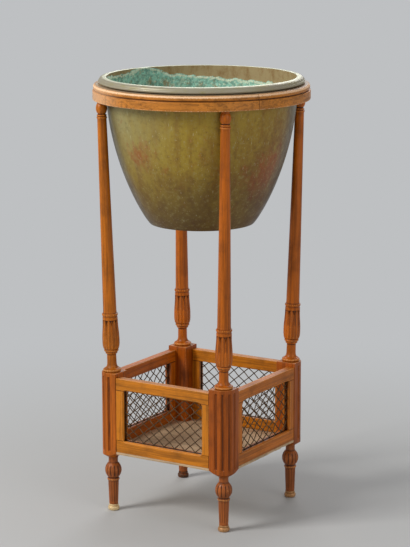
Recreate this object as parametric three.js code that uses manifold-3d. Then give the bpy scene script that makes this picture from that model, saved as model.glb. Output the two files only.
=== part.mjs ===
// A jardiniere on a stand: a copper bowl that hangs in a wooden ring, carried by four columns that lean
// outwards from the fluted corner posts of a low box with wire grilles in its four sides.
// Millimetres, +Z up. The floor is z = 0, and the stand's middle axis is x = y = 0.

import * as THREE from "three";
import { mergeVertices } from "three/addons/utils/BufferGeometryUtils.js";
import Module from "manifold-3d";

const wasm = await Module();
wasm.setup();

// ---------------------------------------------------------------------------------------- sizes

// Round tenons and their holes have this many sides
const PEG_SIDES = 8;

// Fits
const SEAT_GAP = 0.3; // between two faces that meet
const TENON_GAP = 0.3; // all round a tenon in its hole
const END_GAP = 1; // past the end of a tenon
const BOWL_GAP = 2; // between the bowl's wall and the ring's bore

// Heights, from the floor up
const FOOT_HEIGHT = 118; // floor to the underside of a post
const POST_HEIGHT = 185;
const COLUMN_HEIGHT = 569.4; // top of a post to the underside of the ring
const RING_HEIGHT = 31.2;

// Plan
const POST_SPACING = 274; // between the axes of two neighbouring posts
const RING_RADIUS = 225;
const RING_WIDTH = 24.7;
const COLUMN_INSET = 14.6; // from the ring's outside in to the top of a column's axis

// Posts
const POST_WIDTH = 45;
const POST_ROUND_RADIUS = 24; // of the outer corner
const POST_SHOULDER_HEIGHT = 14; // of the turned slope at the post's lower end
const POST_SHOULDER_MARGIN = 1; // of the slope outside the foot's upper end
const FLUTES_ON_POST = 4;
const FLUTE_SPACING = 15.3; // along the outline
const FLUTE_RADIUS = 3.4;
const FLUTE_LOWER_END = 15; // from the underside of the post
const FLUTE_UPPER_END = 7; // from the top of the post

// Rails, stiles and the opening that they frame
const RAIL_THICKNESS = 18;
const RAIL_SETBACK = 1; // behind the posts' faces
const RAIL_DROP = 8.5; // top of a post down to the top rail
const RAIL_RISE = 17.5; // underside of a post up to the bottom rail
const TOP_RAIL_WIDTH = 24.5;
const BOTTOM_RAIL_WIDTH = 25.5;
const STILE_WIDTH = 18.5;
const RAIL_TENON_LENGTH = 14;
const RAIL_TENON_THICKNESS = 8;
const RAIL_TENON_SHOULDER = 4; // above and below the tenon
const GROOVE_DEPTH = 5;
const CHAMFER = 3; // round the front of the opening
const CHAMFER_CORNER_RADIUS = 6;

// Grilles
const WIRE = 1.9;
const WELD_DEPTH = 0.1; // by which a wire lies in each wire that it crosses
const DIAMOND_WIDTH = 25.4;
const DIAMOND_HEIGHT = 21.3;

// Bottom board
const BOARD_THICKNESS = 5;
const BOARD_SETBACK = 1.2; // behind the posts' faces

// Columns: heights above the post's top, apart from the head, which is measured down from the ring
const COLUMN_SIDES = 16;
const COLUMN_TENON_RADIUS = 8;
const COLUMN_TENON_LENGTH = 20;
const HEAD_TENON_RADIUS = 7;
const HEAD_TENON_LENGTH = 18;
const BASE_RADIUS = 19;
const BASE_HEIGHT = 7;
const BELL_HEIGHT = 11.5;
const WAIST_RADIUS = 9.7;
const WAIST_HEIGHT = 20.5;
const FILLET_RADIUS = 15.2;
const FILLET_HEIGHT = 10;
const SLEEVE_RADIUS = 18;
const SLEEVE_TOP_RADIUS = 16.2;
const SLEEVE_HEIGHT = 63;
const BAND_RADIUS = 17;
const BAND_HEIGHT = 14;
const LEAF_DEPTH = 0.1; // of the grooves between the leaves, as a share of the radius
const SHAFT_FOOT_RADIUS = 14;
const SHAFT_HEAD_RADIUS = 9.7;
const COLLAR_RADIUS = 10.8;
const COLLAR_HEIGHT = 10.5;
const PINCH_RADIUS = 8.5;
const BALL_RADIUS = 11.6;
const BALL_HEIGHT = 21;
const NECK_RADIUS = 9;
const NECK_HEIGHT = 5;

// Feet: their parts in the order in which they follow one another upwards
const FOOT_SIDES = 12;
const FOOT_TENON_RADIUS = 9;
const FOOT_TENON_LENGTH = 24;
const LEG_FOOT_RADIUS = 9.5;
const LEG_HEAD_RADIUS = 11.3;
const LEG_FLUTE_DEPTH = 0.09; // as a share of the radius
const FOOT_COLLAR_RADIUS = 13.6;
const FOOT_COLLAR_HEIGHT = 5.5;
const FOOT_BALL_RADIUS = 17.4;
const FOOT_BALL_HEIGHT = 35.5;
const GADROON_DEPTH = 0.06; // as a share of the radius
const GADROON_MARGIN = 1; // left plain at each end of the ball
const FOOT_NECK_RADIUS = 9.8;
const FOOT_NECK_HEIGHT = 6;
const FOOT_HEAD_RADIUS = 10.8; // where the foot meets the post
const FOOT_HEAD_HEIGHT = 4.5; // from the neck up to the post

// Ferrules
const FERRULE_HEIGHT = 13.5;
const FERRULE_RADIUS = 12.4;
const FERRULE_MOUTH_RADIUS = 10;
const FERRULE_SOLE_RADIUS = 9.4;
const FERRULE_SOLE_THICKNESS = 4;
const SPIGOT_RADIUS = 7;

// Ring
const RING_SIDES = 36;
const FASCIA_HEIGHT = 19;
const FASCIA_ARRIS = 1.2; // taken off its lower edge
const GROOVE_SLOPE = 1.6; // height in which the fascia runs in to the groove
const GROOVE_HEIGHT = 0.8;
const BEAD_FOOT_HEIGHT = 2.2; // height in which the bead swells out of the groove
const BEAD_SHOULDER_HEIGHT = 4; // height in which it rounds over to the top
const BEAD_SETBACK = 2; // behind the fascia
const GROOVE_SETBACK = 3.7; // behind the fascia
const RING_TOP_SETBACK = 7; // behind the fascia
const SEAM_ANGLE = THREE.MathUtils.degToRad(17.7); // from a column to the next joint in the ring
const TONGUE_LENGTH = 36;
const TONGUE_WIDTH = 12;
const TONGUE_THICKNESS = 6;

// Bowl
const BOWL_SIDES = 36;
const BOWL_DEPTH = 290.6; // top of the ring down to the bowl's underside
const BOWL_BASE_RADIUS = 109;
const BOWL_WALL = 2;
const BOWL_SEAT_WIDTH = 5.3; // of the bead that rests on the ring
const BOWL_SEAT_HEIGHT = 2.6;
const RIM_RADIUS = 213.2;
const RIM_HEIGHT = 15.4; // above the ring
const RIM_DROP = 7.6; // inner edge down to the lip
const RIM_LIP = 3; // thickness of the turned-over lip
const LIP_ROUNDING = 2;
const RIM_CROWN_DROP = 2.1; // inner edge down to the middle of the rim's crown
const MOUTH_ARRIS = 0.6; // inside the rim's inner edge
const WALL_STEPS = 6; // from the bottom to the mouth
const WALL_STEP_POWER = 1.6; // crowds the steps towards the bottom, where the wall curves most

// Colours
const WOOD_COLOUR = 0x96551f;
const WORN_WOOD_COLOUR = 0xb0753f;
const BOARD_COLOUR = 0xb59468;
const COPPER_COLOUR = 0x7b6c3a;
const BRASS_COLOUR = 0xc9a565;
const WIRE_COLOUR = 0x3d3a35;

// ------------------------------------------------------------------------------- derived places

const postTop = FOOT_HEIGHT + POST_HEIGHT;
const ringBottom = postTop + COLUMN_HEIGHT;
const ringTop = ringBottom + RING_HEIGHT;
const postAxisRadius = POST_SPACING / Math.SQRT2;
const columnTopRadius = RING_RADIUS - COLUMN_INSET;
const lean = Math.atan((columnTopRadius - postAxisRadius) / COLUMN_HEIGHT);
const columnLength = COLUMN_HEIGHT / Math.cos(lean);
const postFace = POST_SPACING / 2 + POST_WIDTH / 2;
const railPlane = postFace - RAIL_SETBACK - RAIL_THICKNESS / 2;
const bayHalf = POST_SPACING / 2 - POST_WIDTH / 2; // half the clear width between two posts
const openingHalf = bayHalf - STILE_WIDTH;
const openingTop = postTop - RAIL_DROP - TOP_RAIL_WIDTH;
const openingBottom = FOOT_HEIGHT + RAIL_RISE + BOTTOM_RAIL_WIDTH;
const openingHeight = openingTop - openingBottom;
const grooveWidth = 2 * WIRE + 2 * SEAT_GAP;
const ringBore = RING_RADIUS - RING_WIDTH;
const ringMiddle = RING_RADIUS - RING_WIDTH / 2;
const bowlRadius = ringBore - BOWL_GAP;

const MERGE_DISTANCE = 1e-4; // below it two heights or corners are the same
const OVERCUT = 2; // how far a cutter runs past the face that it cuts

// -------------------------------------------------------------------------------------- helpers

// A geometry as a solid: shared corners merged, and the slivers at a turning's poles dropped.
function solid(geometry) {
  const bare = geometry.clone();
  bare.deleteAttribute("normal");
  bare.deleteAttribute("uv");
  const merged = mergeVertices(bare, MERGE_DISTANCE);
  const corners = merged.index.array;
  const triangles = [];
  for (let i = 0; i < corners.length; i += 3) {
    const [a, b, c] = corners.slice(i, i + 3);
    if (a !== b && b !== c && c !== a) triangles.push(a, b, c);
  }
  const mesh = new wasm.Mesh({
    numProp: 3,
    vertProperties: merged.getAttribute("position").array,
    triVerts: new Uint32Array(triangles),
  });
  return new wasm.Manifold(mesh);
}

// A solid back as a geometry. Facets that lie in one plane are joined up first.
function surface(body) {
  const mesh = body.asOriginal().getMesh();
  const geometry = new THREE.BufferGeometry();
  geometry.setAttribute("position", new THREE.BufferAttribute(mesh.vertProperties, 3));
  geometry.setIndex(new THREE.BufferAttribute(mesh.triVerts, 1));
  return geometry;
}

// A box between two opposite corners.
function block(low, high) {
  const size = high.map((value, axis) => value - low[axis]);
  const geometry = new THREE.BoxGeometry(...size);
  geometry.translate(...low.map((value, axis) => value + size[axis] / 2));
  return geometry;
}

// A turning about Z from [radius, height] pairs.
function turned(profile, sides) {
  const points = profile.map(([radius, height]) => new THREE.Vector2(radius, height));
  return new THREE.LatheGeometry(points, sides).rotateX(Math.PI / 2);
}

// A plain round peg from one height to another, for a tenon or for the hole that takes it.
function peg(radius, low, high) {
  const profile = [
    [0, low],
    [radius, low],
    [radius, high],
    [0, high],
  ];
  return turned(profile, PEG_SIDES);
}

// Carves a turning: each point's radius is multiplied by a share that depends on height and angle.
function carve(geometry, shareAt) {
  const place = geometry.getAttribute("position");
  for (let i = 0; i < place.count; i += 1) {
    const angle = Math.atan2(place.getY(i), place.getX(i));
    const share = shareAt(place.getZ(i), angle);
    place.setXY(i, place.getX(i) * share, place.getY(i) * share);
  }
  return geometry;
}

// -------------------------------------------------------------------------------------- columns

// The column stands on its own axis, with height 0 at the post's top.
function columnGeometry() {
  const bellFoot = BASE_HEIGHT;
  const waistFoot = bellFoot + BELL_HEIGHT;
  const filletFoot = waistFoot + WAIST_HEIGHT;
  const sleeveFoot = filletFoot + FILLET_HEIGHT;
  const bandFoot = sleeveFoot + SLEEVE_HEIGHT;
  const shaftFoot = bandFoot + BAND_HEIGHT;
  const neckFoot = columnLength - NECK_HEIGHT;
  const ballFoot = neckFoot - BALL_HEIGHT;
  const shaftHead = ballFoot - COLLAR_HEIGHT;
  const profile = [
    [0, -OVERCUT],
    [BASE_RADIUS, -OVERCUT],
    [BASE_RADIUS, BASE_HEIGHT * 0.8],
    [BASE_RADIUS * 0.92, bellFoot],
    [(BASE_RADIUS + WAIST_RADIUS) * 0.44, bellFoot + BELL_HEIGHT * 0.45],
    [WAIST_RADIUS, waistFoot],
    [WAIST_RADIUS, filletFoot],
    [(FILLET_RADIUS + WAIST_RADIUS) / 2, filletFoot + FILLET_HEIGHT * 0.2],
    [FILLET_RADIUS, filletFoot + FILLET_HEIGHT * 0.5],
    [SLEEVE_RADIUS * 0.86, sleeveFoot],
    [SLEEVE_RADIUS, sleeveFoot + SLEEVE_HEIGHT * 0.22],
    [SLEEVE_TOP_RADIUS, bandFoot],
    [BAND_RADIUS, bandFoot + BAND_HEIGHT * 0.15],
    [BAND_RADIUS, shaftFoot - BAND_HEIGHT * 0.1],
    [SHAFT_FOOT_RADIUS, shaftFoot],
    [SHAFT_HEAD_RADIUS, shaftHead],
    [COLLAR_RADIUS, shaftHead + COLLAR_HEIGHT * 0.25],
    [COLLAR_RADIUS, ballFoot - COLLAR_HEIGHT * 0.25],
    [PINCH_RADIUS, ballFoot],
    [BALL_RADIUS, ballFoot + BALL_HEIGHT * 0.36],
    [BALL_RADIUS, ballFoot + BALL_HEIGHT * 0.64],
    [NECK_RADIUS, neckFoot],
    [NECK_RADIUS, columnLength + OVERCUT],
    [0, columnLength + OVERCUT],
  ];
  const leaves = COLUMN_SIDES / 2;
  const grooved = (height, angle) => {
    const onSleeve = height > sleeveFoot - MERGE_DISTANCE && height < bandFoot + MERGE_DISTANCE;
    return onSleeve && Math.cos(leaves * angle) < 0 ? 1 - LEAF_DEPTH : 1;
  };
  const turning = carve(turned(profile, COLUMN_SIDES), grooved);
  // Both ends are pared level, because the column leans and its seats don't.
  const reach = 2 * (BASE_RADIUS + COLUMN_HEIGHT * Math.tan(Math.abs(lean)) + OVERCUT);
  const level = block([-reach, -reach, SEAT_GAP], [reach, reach, COLUMN_HEIGHT - SEAT_GAP]);
  level.rotateY(-lean);
  const lowerTenon = peg(COLUMN_TENON_RADIUS, -COLUMN_TENON_LENGTH, BASE_HEIGHT);
  const upperTenon = peg(HEAD_TENON_RADIUS, neckFoot, columnLength + HEAD_TENON_LENGTH);
  const body = solid(turning).intersect(solid(level)).add(solid(lowerTenon)).add(solid(upperTenon));
  return surface(body);
}

// The hole for a column's lower tenon, from the column's foot at the post's top.
function columnFootHole() {
  const depth = COLUMN_TENON_LENGTH + END_GAP;
  const hole = peg(COLUMN_TENON_RADIUS + TENON_GAP, -depth, OVERCUT);
  return hole.rotateY(lean);
}

// The hole for a column's upper tenon, from the same point as the column itself.
function columnHeadHole() {
  const depth = columnLength + HEAD_TENON_LENGTH + END_GAP;
  const hole = peg(HEAD_TENON_RADIUS + TENON_GAP, columnLength - OVERCUT, depth);
  return hole.rotateY(lean);
}

// ---------------------------------------------------------------------------------------- posts

// A point of the post's outline, by its distance along it from the middle of the rounded corner,
// which points to +x +y.
function postOutlinePoint(distance) {
  const half = POST_WIDTH / 2;
  const centre = half - POST_ROUND_RADIUS;
  const roundHalf = (POST_ROUND_RADIUS * Math.PI) / 4;
  const onRound = Math.min(Math.abs(distance), roundHalf);
  const onFlat = Math.abs(distance) - onRound;
  const angle = Math.PI / 4 + onRound / POST_ROUND_RADIUS;
  const along = centre + POST_ROUND_RADIUS * Math.cos(angle) - onFlat;
  const across = centre + POST_ROUND_RADIUS * Math.sin(angle);
  return distance > 0 ? [along, across] : [across, along];
}

// The post's axis is at 0, with its underside at height 0 and its rounded corner towards +x.
function postGeometry() {
  const half = POST_WIDTH / 2;
  const centre = half - POST_ROUND_RADIUS;
  const outline = new THREE.Shape();
  outline.moveTo(-half, -half);
  outline.lineTo(half, -half);
  outline.absarc(centre, centre, POST_ROUND_RADIUS, 0, Math.PI / 2);
  outline.lineTo(-half, half);
  outline.closePath();
  const roundSteps = 5;
  const options = { depth: POST_HEIGHT, bevelEnabled: false, curveSegments: roundSteps };
  let body = solid(new THREE.ExtrudeGeometry(outline, options));

  for (let i = 0; i < FLUTES_ON_POST; i += 1) {
    const distance = (i - (FLUTES_ON_POST - 1) / 2) * FLUTE_SPACING;
    const [x, y] = postOutlinePoint(distance);
    const ends = FLUTE_LOWER_END + FLUTE_UPPER_END + 2 * FLUTE_RADIUS;
    const flute = new THREE.CapsuleGeometry(FLUTE_RADIUS, POST_HEIGHT - ends, 2, 8);
    flute.rotateX(Math.PI / 2);
    flute.translate(x, y, POST_HEIGHT / 2 + (FLUTE_LOWER_END - FLUTE_UPPER_END) / 2);
    body = body.subtract(solid(flute));
  }

  const tenonPlane = railPlane - POST_SPACING / 2;
  const thickness = RAIL_TENON_THICKNESS / 2 + TENON_GAP;
  const end = -half + RAIL_TENON_LENGTH + END_GAP;
  for (const [bottom, top] of [topRailTenonHeights(), bottomRailTenonHeights()]) {
    const low = bottom - FOOT_HEIGHT - TENON_GAP;
    const high = top - FOOT_HEIGHT + TENON_GAP;
    const near = [-half - OVERCUT, tenonPlane - thickness];
    const far = [end, tenonPlane + thickness];
    body = body.subtract(solid(block([near[0], near[1], low], [far[0], far[1], high])));
    body = body.subtract(solid(block([near[1], near[0], low], [far[1], far[0], high])));
  }

  // From here on the rounded corner points to +x, as the column's lean does.
  const shoulderFoot = FOOT_HEAD_RADIUS + POST_SHOULDER_MARGIN;
  const cornerReach = half * Math.SQRT2 + OVERCUT;
  const shoulder = [
    [0, 0],
    [shoulderFoot, 0],
    [cornerReach, POST_SHOULDER_HEIGHT],
    [cornerReach, POST_HEIGHT + OVERCUT],
    [0, POST_HEIGHT + OVERCUT],
  ];
  body = solid(surface(body).rotateZ(-Math.PI / 4));
  body = body.intersect(solid(turned(shoulder, COLUMN_SIDES)));
  const columnHole = columnFootHole().translate(0, 0, POST_HEIGHT);
  const footHole = peg(FOOT_TENON_RADIUS + TENON_GAP, -OVERCUT, FOOT_TENON_LENGTH + END_GAP);
  return surface(body.subtract(solid(columnHole)).subtract(solid(footHole)));
}

// ---------------------------------------------------------------------------- feet and ferrules

// Heights are above the floor.
function footGeometry() {
  const legFoot = FERRULE_HEIGHT + SEAT_GAP;
  const spigotFoot = FERRULE_SOLE_THICKNESS + SEAT_GAP;
  const neckTop = FOOT_HEIGHT - FOOT_HEAD_HEIGHT;
  const ballTop = neckTop - FOOT_NECK_HEIGHT;
  const collarTop = ballTop - FOOT_BALL_HEIGHT;
  const legTop = collarTop - FOOT_COLLAR_HEIGHT;
  const headTop = FOOT_HEIGHT - SEAT_GAP;
  const profile = [
    [0, legFoot],
    [LEG_FOOT_RADIUS, legFoot],
    [LEG_HEAD_RADIUS, legTop],
    [FOOT_COLLAR_RADIUS, legTop + FOOT_COLLAR_HEIGHT * 0.2],
    [FOOT_COLLAR_RADIUS, collarTop - FOOT_COLLAR_HEIGHT * 0.2],
    [FOOT_BALL_RADIUS * 0.7, collarTop + FOOT_BALL_HEIGHT * 0.06],
    [FOOT_BALL_RADIUS * 0.93, collarTop + FOOT_BALL_HEIGHT * 0.24],
    [FOOT_BALL_RADIUS, collarTop + FOOT_BALL_HEIGHT * 0.44],
    [FOOT_BALL_RADIUS, collarTop + FOOT_BALL_HEIGHT * 0.58],
    [FOOT_BALL_RADIUS * 0.9, collarTop + FOOT_BALL_HEIGHT * 0.8],
    [FOOT_NECK_RADIUS, ballTop],
    [FOOT_NECK_RADIUS, neckTop],
    [FOOT_HEAD_RADIUS, headTop],
    [0, headTop],
  ];
  const ribs = FOOT_SIDES / 2;
  const grooved = (height, angle) => {
    if (Math.cos(ribs * angle) > 0) return 1;
    if (height < legTop + MERGE_DISTANCE) return 1 - LEG_FLUTE_DEPTH;
    const onBall = height > collarTop + GADROON_MARGIN && height < ballTop - GADROON_MARGIN;
    if (onBall) return 1 - GADROON_DEPTH;
    return 1;
  };
  const turning = carve(turned(profile, FOOT_SIDES), grooved);
  const spigot = peg(SPIGOT_RADIUS, spigotFoot, legTop);
  const tenon = peg(FOOT_TENON_RADIUS, neckTop, FOOT_HEIGHT + FOOT_TENON_LENGTH);
  return surface(solid(turning).add(solid(spigot)).add(solid(tenon)));
}

// A brass cup with a rounded side, which takes the spigot at the foot's lower end.
function ferruleGeometry() {
  const socket = SPIGOT_RADIUS + TENON_GAP;
  const profile = [
    [0, 0],
    [FERRULE_SOLE_RADIUS, 0],
    [FERRULE_RADIUS, FERRULE_HEIGHT * 0.2],
    [FERRULE_RADIUS, FERRULE_HEIGHT * 0.5],
    [FERRULE_MOUTH_RADIUS, FERRULE_HEIGHT * 0.85],
    [FERRULE_MOUTH_RADIUS, FERRULE_HEIGHT],
    [0, FERRULE_HEIGHT],
  ];
  const hole = peg(socket, FERRULE_SOLE_THICKNESS, FERRULE_HEIGHT + OVERCUT);
  return surface(solid(turned(profile, FOOT_SIDES)).subtract(solid(hole)));
}

// ----------------------------------------------------------------------------- rails and stiles

// A side is modelled as the one that faces -Y: x runs along it, y is 0 in the middle of the rails'
// thickness, and heights are above the floor.

function topRailTenonHeights() {
  const top = postTop - RAIL_DROP;
  return [openingTop + GROOVE_DEPTH + RAIL_TENON_SHOULDER, top - RAIL_TENON_SHOULDER];
}

function bottomRailTenonHeights() {
  const bottom = openingBottom - BOTTOM_RAIL_WIDTH;
  return [bottom + RAIL_TENON_SHOULDER, openingBottom - GROOVE_DEPTH - RAIL_TENON_SHOULDER];
}

// The cutter for the chamfer round the front of the opening. Its corners are round, as a cutter that
// is run along the frame leaves them.
function chamferCutter() {
  const radius = CHAMFER_CORNER_RADIUS;
  const right = openingHalf - radius;
  const top = openingTop - radius;
  const bottom = openingBottom + radius;
  const outline = new THREE.Shape();
  outline.absarc(right, bottom, radius, -Math.PI / 2, 0);
  outline.absarc(right, top, radius, 0, Math.PI / 2);
  outline.absarc(-right, top, radius, Math.PI / 2, Math.PI);
  outline.absarc(-right, bottom, radius, Math.PI, 1.5 * Math.PI);
  outline.closePath();
  const options = { depth: CHAMFER + OVERCUT, bevelEnabled: false, curveSegments: 2 };
  const geometry = new THREE.ExtrudeGeometry(outline, options);
  const place = geometry.getAttribute("position");
  const middle = (openingTop + openingBottom) / 2;
  for (let i = 0; i < place.count; i += 1) {
    const spread = place.getZ(i);
    place.setX(i, place.getX(i) + Math.sign(place.getX(i)) * spread);
    place.setY(i, place.getY(i) + Math.sign(place.getY(i) - middle) * spread);
  }
  geometry.rotateX(Math.PI / 2);
  return geometry.translate(0, CHAMFER - RAIL_THICKNESS / 2, 0);
}

// A rail from one height to another, with a tenon at each end and a groove along one edge.
function railGeometry(low, high, [tenonLow, tenonHigh], grooveLow, grooveHigh) {
  const shoulder = bayHalf - SEAT_GAP;
  const depth = RAIL_THICKNESS / 2;
  const tenonEnd = bayHalf + RAIL_TENON_LENGTH;
  const tenonDepth = RAIL_TENON_THICKNESS / 2;
  const bar = block([-shoulder, -depth, low], [shoulder, depth, high]);
  const tenons = block([-tenonEnd, -tenonDepth, tenonLow], [tenonEnd, tenonDepth, tenonHigh]);
  const groove = block(
    [-bayHalf, -grooveWidth / 2, grooveLow],
    [bayHalf, grooveWidth / 2, grooveHigh],
  );
  const body = solid(bar).subtract(solid(groove)).add(solid(tenons));
  return surface(body.subtract(solid(chamferCutter())));
}

function topRailGeometry() {
  const groove = [openingTop - OVERCUT, openingTop + GROOVE_DEPTH];
  return railGeometry(openingTop, postTop - RAIL_DROP, topRailTenonHeights(), ...groove);
}

function bottomRailGeometry() {
  const groove = [openingBottom - GROOVE_DEPTH, openingBottom + OVERCUT];
  const low = openingBottom - BOTTOM_RAIL_WIDTH;
  return railGeometry(low, openingBottom, bottomRailTenonHeights(), ...groove);
}

// The stile on the +x side of the opening, with a stub tenon in the groove of each rail.
function stileGeometry() {
  const outer = bayHalf - SEAT_GAP;
  const depth = RAIL_THICKNESS / 2;
  const low = openingBottom + SEAT_GAP;
  const high = openingTop - SEAT_GAP;
  const tenonDepth = grooveWidth / 2 - TENON_GAP;
  const tenonReach = GROOVE_DEPTH - TENON_GAP;
  const tenonInner = openingHalf + GROOVE_DEPTH + SEAT_GAP;
  const bar = block([openingHalf, -depth, low], [outer, depth, high]);
  const tenons = block(
    [tenonInner, -tenonDepth, openingBottom - tenonReach],
    [outer, tenonDepth, openingTop + tenonReach],
  );
  const groove = block(
    [openingHalf - OVERCUT, -grooveWidth / 2, low - OVERCUT],
    [openingHalf + GROOVE_DEPTH, grooveWidth / 2, high + OVERCUT],
  );
  const body = solid(bar).subtract(solid(groove)).add(solid(tenons));
  return surface(body.subtract(solid(chamferCutter())));
}

// -------------------------------------------------------------------------------------- grilles

// Two layers of wires that cross at a slant. Each line is z = slope * x + offset from the middle of
// the opening, and the second layer is welded to the first where they cross.
function grilleGeometry() {
  const slope = DIAMOND_HEIGHT / DIAMOND_WIDTH;
  const halfWidth = openingHalf + GROOVE_DEPTH - SEAT_GAP;
  const halfHeight = openingHeight / 2 + GROOVE_DEPTH - SEAT_GAP;
  const reach = Math.ceil((halfHeight + slope * halfWidth) / DIAMOND_HEIGHT);
  const offsets = [];
  for (let i = -reach; i <= reach; i += 1) offsets.push((i + 0.5) * DIAMOND_HEIGHT);
  // A wire across a corner stays only if it crosses another wire inside the frame.
  const inside = (x, z) => Math.abs(x) < halfWidth - WIRE && Math.abs(z) < halfHeight - WIRE;
  const kept = offsets.filter((offset) =>
    offsets.some((other) => inside((other - offset) / (2 * slope), (offset + other) / 2)),
  );
  const length = 4 * (halfWidth + halfHeight);
  const angle = Math.atan(slope);
  const layer = (sign) => {
    const near = (sign > 0 ? 0 : -WIRE) - (sign * WELD_DEPTH) / 2;
    let wires = null;
    for (const offset of kept) {
      const wire = block([-length / 2, near, -WIRE / 2], [length / 2, near + WIRE, WIRE / 2]);
      wire.rotateY(-sign * angle);
      wire.translate(0, 0, offset);
      wires = wires ? wires.add(solid(wire)) : solid(wire);
    }
    return wires;
  };
  const frame = block([-halfWidth, -2 * WIRE, -halfHeight], [halfWidth, 2 * WIRE, halfHeight]);
  const body = layer(1).add(layer(-1)).intersect(solid(frame));
  const middle = (openingTop + openingBottom) / 2;
  return surface(body).translate(0, 0, middle);
}

// --------------------------------------------------------------------------------- bottom board

// A thin square with its corners notched round the posts.
function boardGeometry() {
  const edge = postFace - BOARD_SETBACK;
  const notch = bayHalf - SEAT_GAP;
  const outline = new THREE.Shape();
  outline.moveTo(edge, -notch);
  const quarter = [
    [edge, notch],
    [notch, notch],
    [notch, edge],
  ];
  for (let i = 0; i < 4; i += 1) {
    const turn = (i * Math.PI) / 2;
    for (const [x, y] of quarter) {
      const turnedX = x * Math.cos(turn) - y * Math.sin(turn);
      const turnedY = x * Math.sin(turn) + y * Math.cos(turn);
      outline.lineTo(turnedX, turnedY);
    }
  }
  outline.closePath();
  const options = { depth: BOARD_THICKNESS, bevelEnabled: false };
  const top = openingBottom - BOTTOM_RAIL_WIDTH - SEAT_GAP;
  const geometry = new THREE.ExtrudeGeometry(outline, options);
  return surface(solid(geometry.translate(0, 0, top - BOARD_THICKNESS)));
}

// ----------------------------------------------------------------------------------------- ring

// One quarter of the ring, with the middle axis at 0 and the column that it sits on along +x.
function ringSegmentGeometry() {
  const fasciaTop = ringBottom + FASCIA_HEIGHT;
  const grooveFoot = fasciaTop + GROOVE_SLOPE;
  const beadFoot = grooveFoot + GROOVE_HEIGHT;
  const bead = RING_RADIUS - BEAD_SETBACK;
  const groove = RING_RADIUS - GROOVE_SETBACK;
  const topEdge = RING_RADIUS - RING_TOP_SETBACK;
  const profile = [
    [ringBore, ringBottom],
    [RING_RADIUS - FASCIA_ARRIS, ringBottom],
    [RING_RADIUS, ringBottom + FASCIA_ARRIS],
    [RING_RADIUS, fasciaTop],
    [groove, grooveFoot],
    [groove, beadFoot],
    [bead, beadFoot + BEAD_FOOT_HEIGHT],
    [bead, ringTop - BEAD_SHOULDER_HEIGHT],
    [topEdge, ringTop],
    [ringBore, ringTop],
    [ringBore, ringBottom],
  ];
  // A joint falls in the middle of a facet of the turning.
  const ring = turned(profile, RING_SIDES).rotateZ(SEAM_ANGLE + Math.PI / RING_SIDES);

  // A wedge of a quarter turn, drawn in by half a gap at each of its two faces.
  const reach = 2 * RING_RADIUS;
  const corners = [0, 0.5, 1].map((share) => SEAM_ANGLE - (share * Math.PI) / 2);
  const wedge = new THREE.Shape();
  wedge.moveTo(0, 0);
  for (const angle of corners.toReversed()) {
    wedge.lineTo(reach * Math.cos(angle), reach * Math.sin(angle));
  }
  wedge.closePath();
  const options = { depth: RING_HEIGHT + 2 * OVERCUT, bevelEnabled: false };
  const quarter = new THREE.ExtrudeGeometry(wedge, options);
  const draw = SEAT_GAP / Math.SQRT2;
  quarter.translate(draw * Math.cos(corners[1]), draw * Math.sin(corners[1]), ringBottom - OVERCUT);

  let body = solid(ring).intersect(solid(quarter));
  for (const angle of [corners[0], corners[2]]) {
    body = body.subtract(solid(tongueBlock(TENON_GAP).rotateZ(angle)));
  }
  const hole = columnHeadHole().translate(postAxisRadius, 0, postTop);
  return surface(body.subtract(solid(hole)));
}

// The loose tongue that joins two segments, or with a gap the slot that takes it, at angle 0.
function tongueBlock(gap) {
  const middle = ringBottom + RING_HEIGHT / 2;
  const width = TONGUE_WIDTH / 2 + gap;
  const length = TONGUE_LENGTH / 2 + gap;
  const thickness = TONGUE_THICKNESS / 2 + gap;
  return block(
    [ringMiddle - width, -length, middle - thickness],
    [ringMiddle + width, length, middle + thickness],
  );
}

// ----------------------------------------------------------------------------------------- bowl

// The wall is full at the mouth and draws in faster and faster towards a flat bottom.
function bowlRadiusAt(share) {
  const swellPower = 1.86;
  const roundPower = 0.88;
  const rise = (1 - (1 - share) ** swellPower) ** roundPower;
  return BOWL_BASE_RADIUS + (bowlRadius - BOWL_BASE_RADIUS) * rise;
}

function bowlGeometry() {
  const bottom = ringTop - BOWL_DEPTH;
  const seat = ringTop + SEAT_GAP;
  const rimTop = ringTop + RIM_HEIGHT;
  const lip = rimTop - RIM_DROP;
  const outside = [];
  for (let i = 0; i <= WALL_STEPS; i += 1) {
    const share = (i / WALL_STEPS) ** WALL_STEP_POWER;
    outside.push([bowlRadiusAt(share), bottom + share * BOWL_DEPTH]);
  }
  const inside = outside.toReversed().map(([radius, height]) => {
    const share = (height - bottom) / BOWL_DEPTH;
    return [radius - BOWL_WALL, height + (1 - share) * BOWL_WALL];
  });
  const profile = [
    [0, bottom],
    ...outside,
    [bowlRadius, seat],
    [bowlRadius + BOWL_SEAT_WIDTH, seat],
    [bowlRadius + BOWL_SEAT_WIDTH, seat + BOWL_SEAT_HEIGHT],
    [bowlRadius, seat + BOWL_SEAT_HEIGHT],
    [bowlRadius, rimTop - RIM_LIP],
    [RIM_RADIUS - LIP_ROUNDING / 2, lip - RIM_LIP / 2],
    [RIM_RADIUS, lip],
    [RIM_RADIUS - LIP_ROUNDING, lip + LIP_ROUNDING],
    [(RIM_RADIUS + bowlRadius) / 2, rimTop - RIM_CROWN_DROP],
    [bowlRadius, rimTop],
    [bowlRadius - BOWL_WALL, rimTop - MOUTH_ARRIS],
    ...inside,
    [0, bottom + BOWL_WALL],
  ];
  return surface(solid(turned(profile, BOWL_SIDES)));
}

// ------------------------------------------------------------------------------------- assembly

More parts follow.
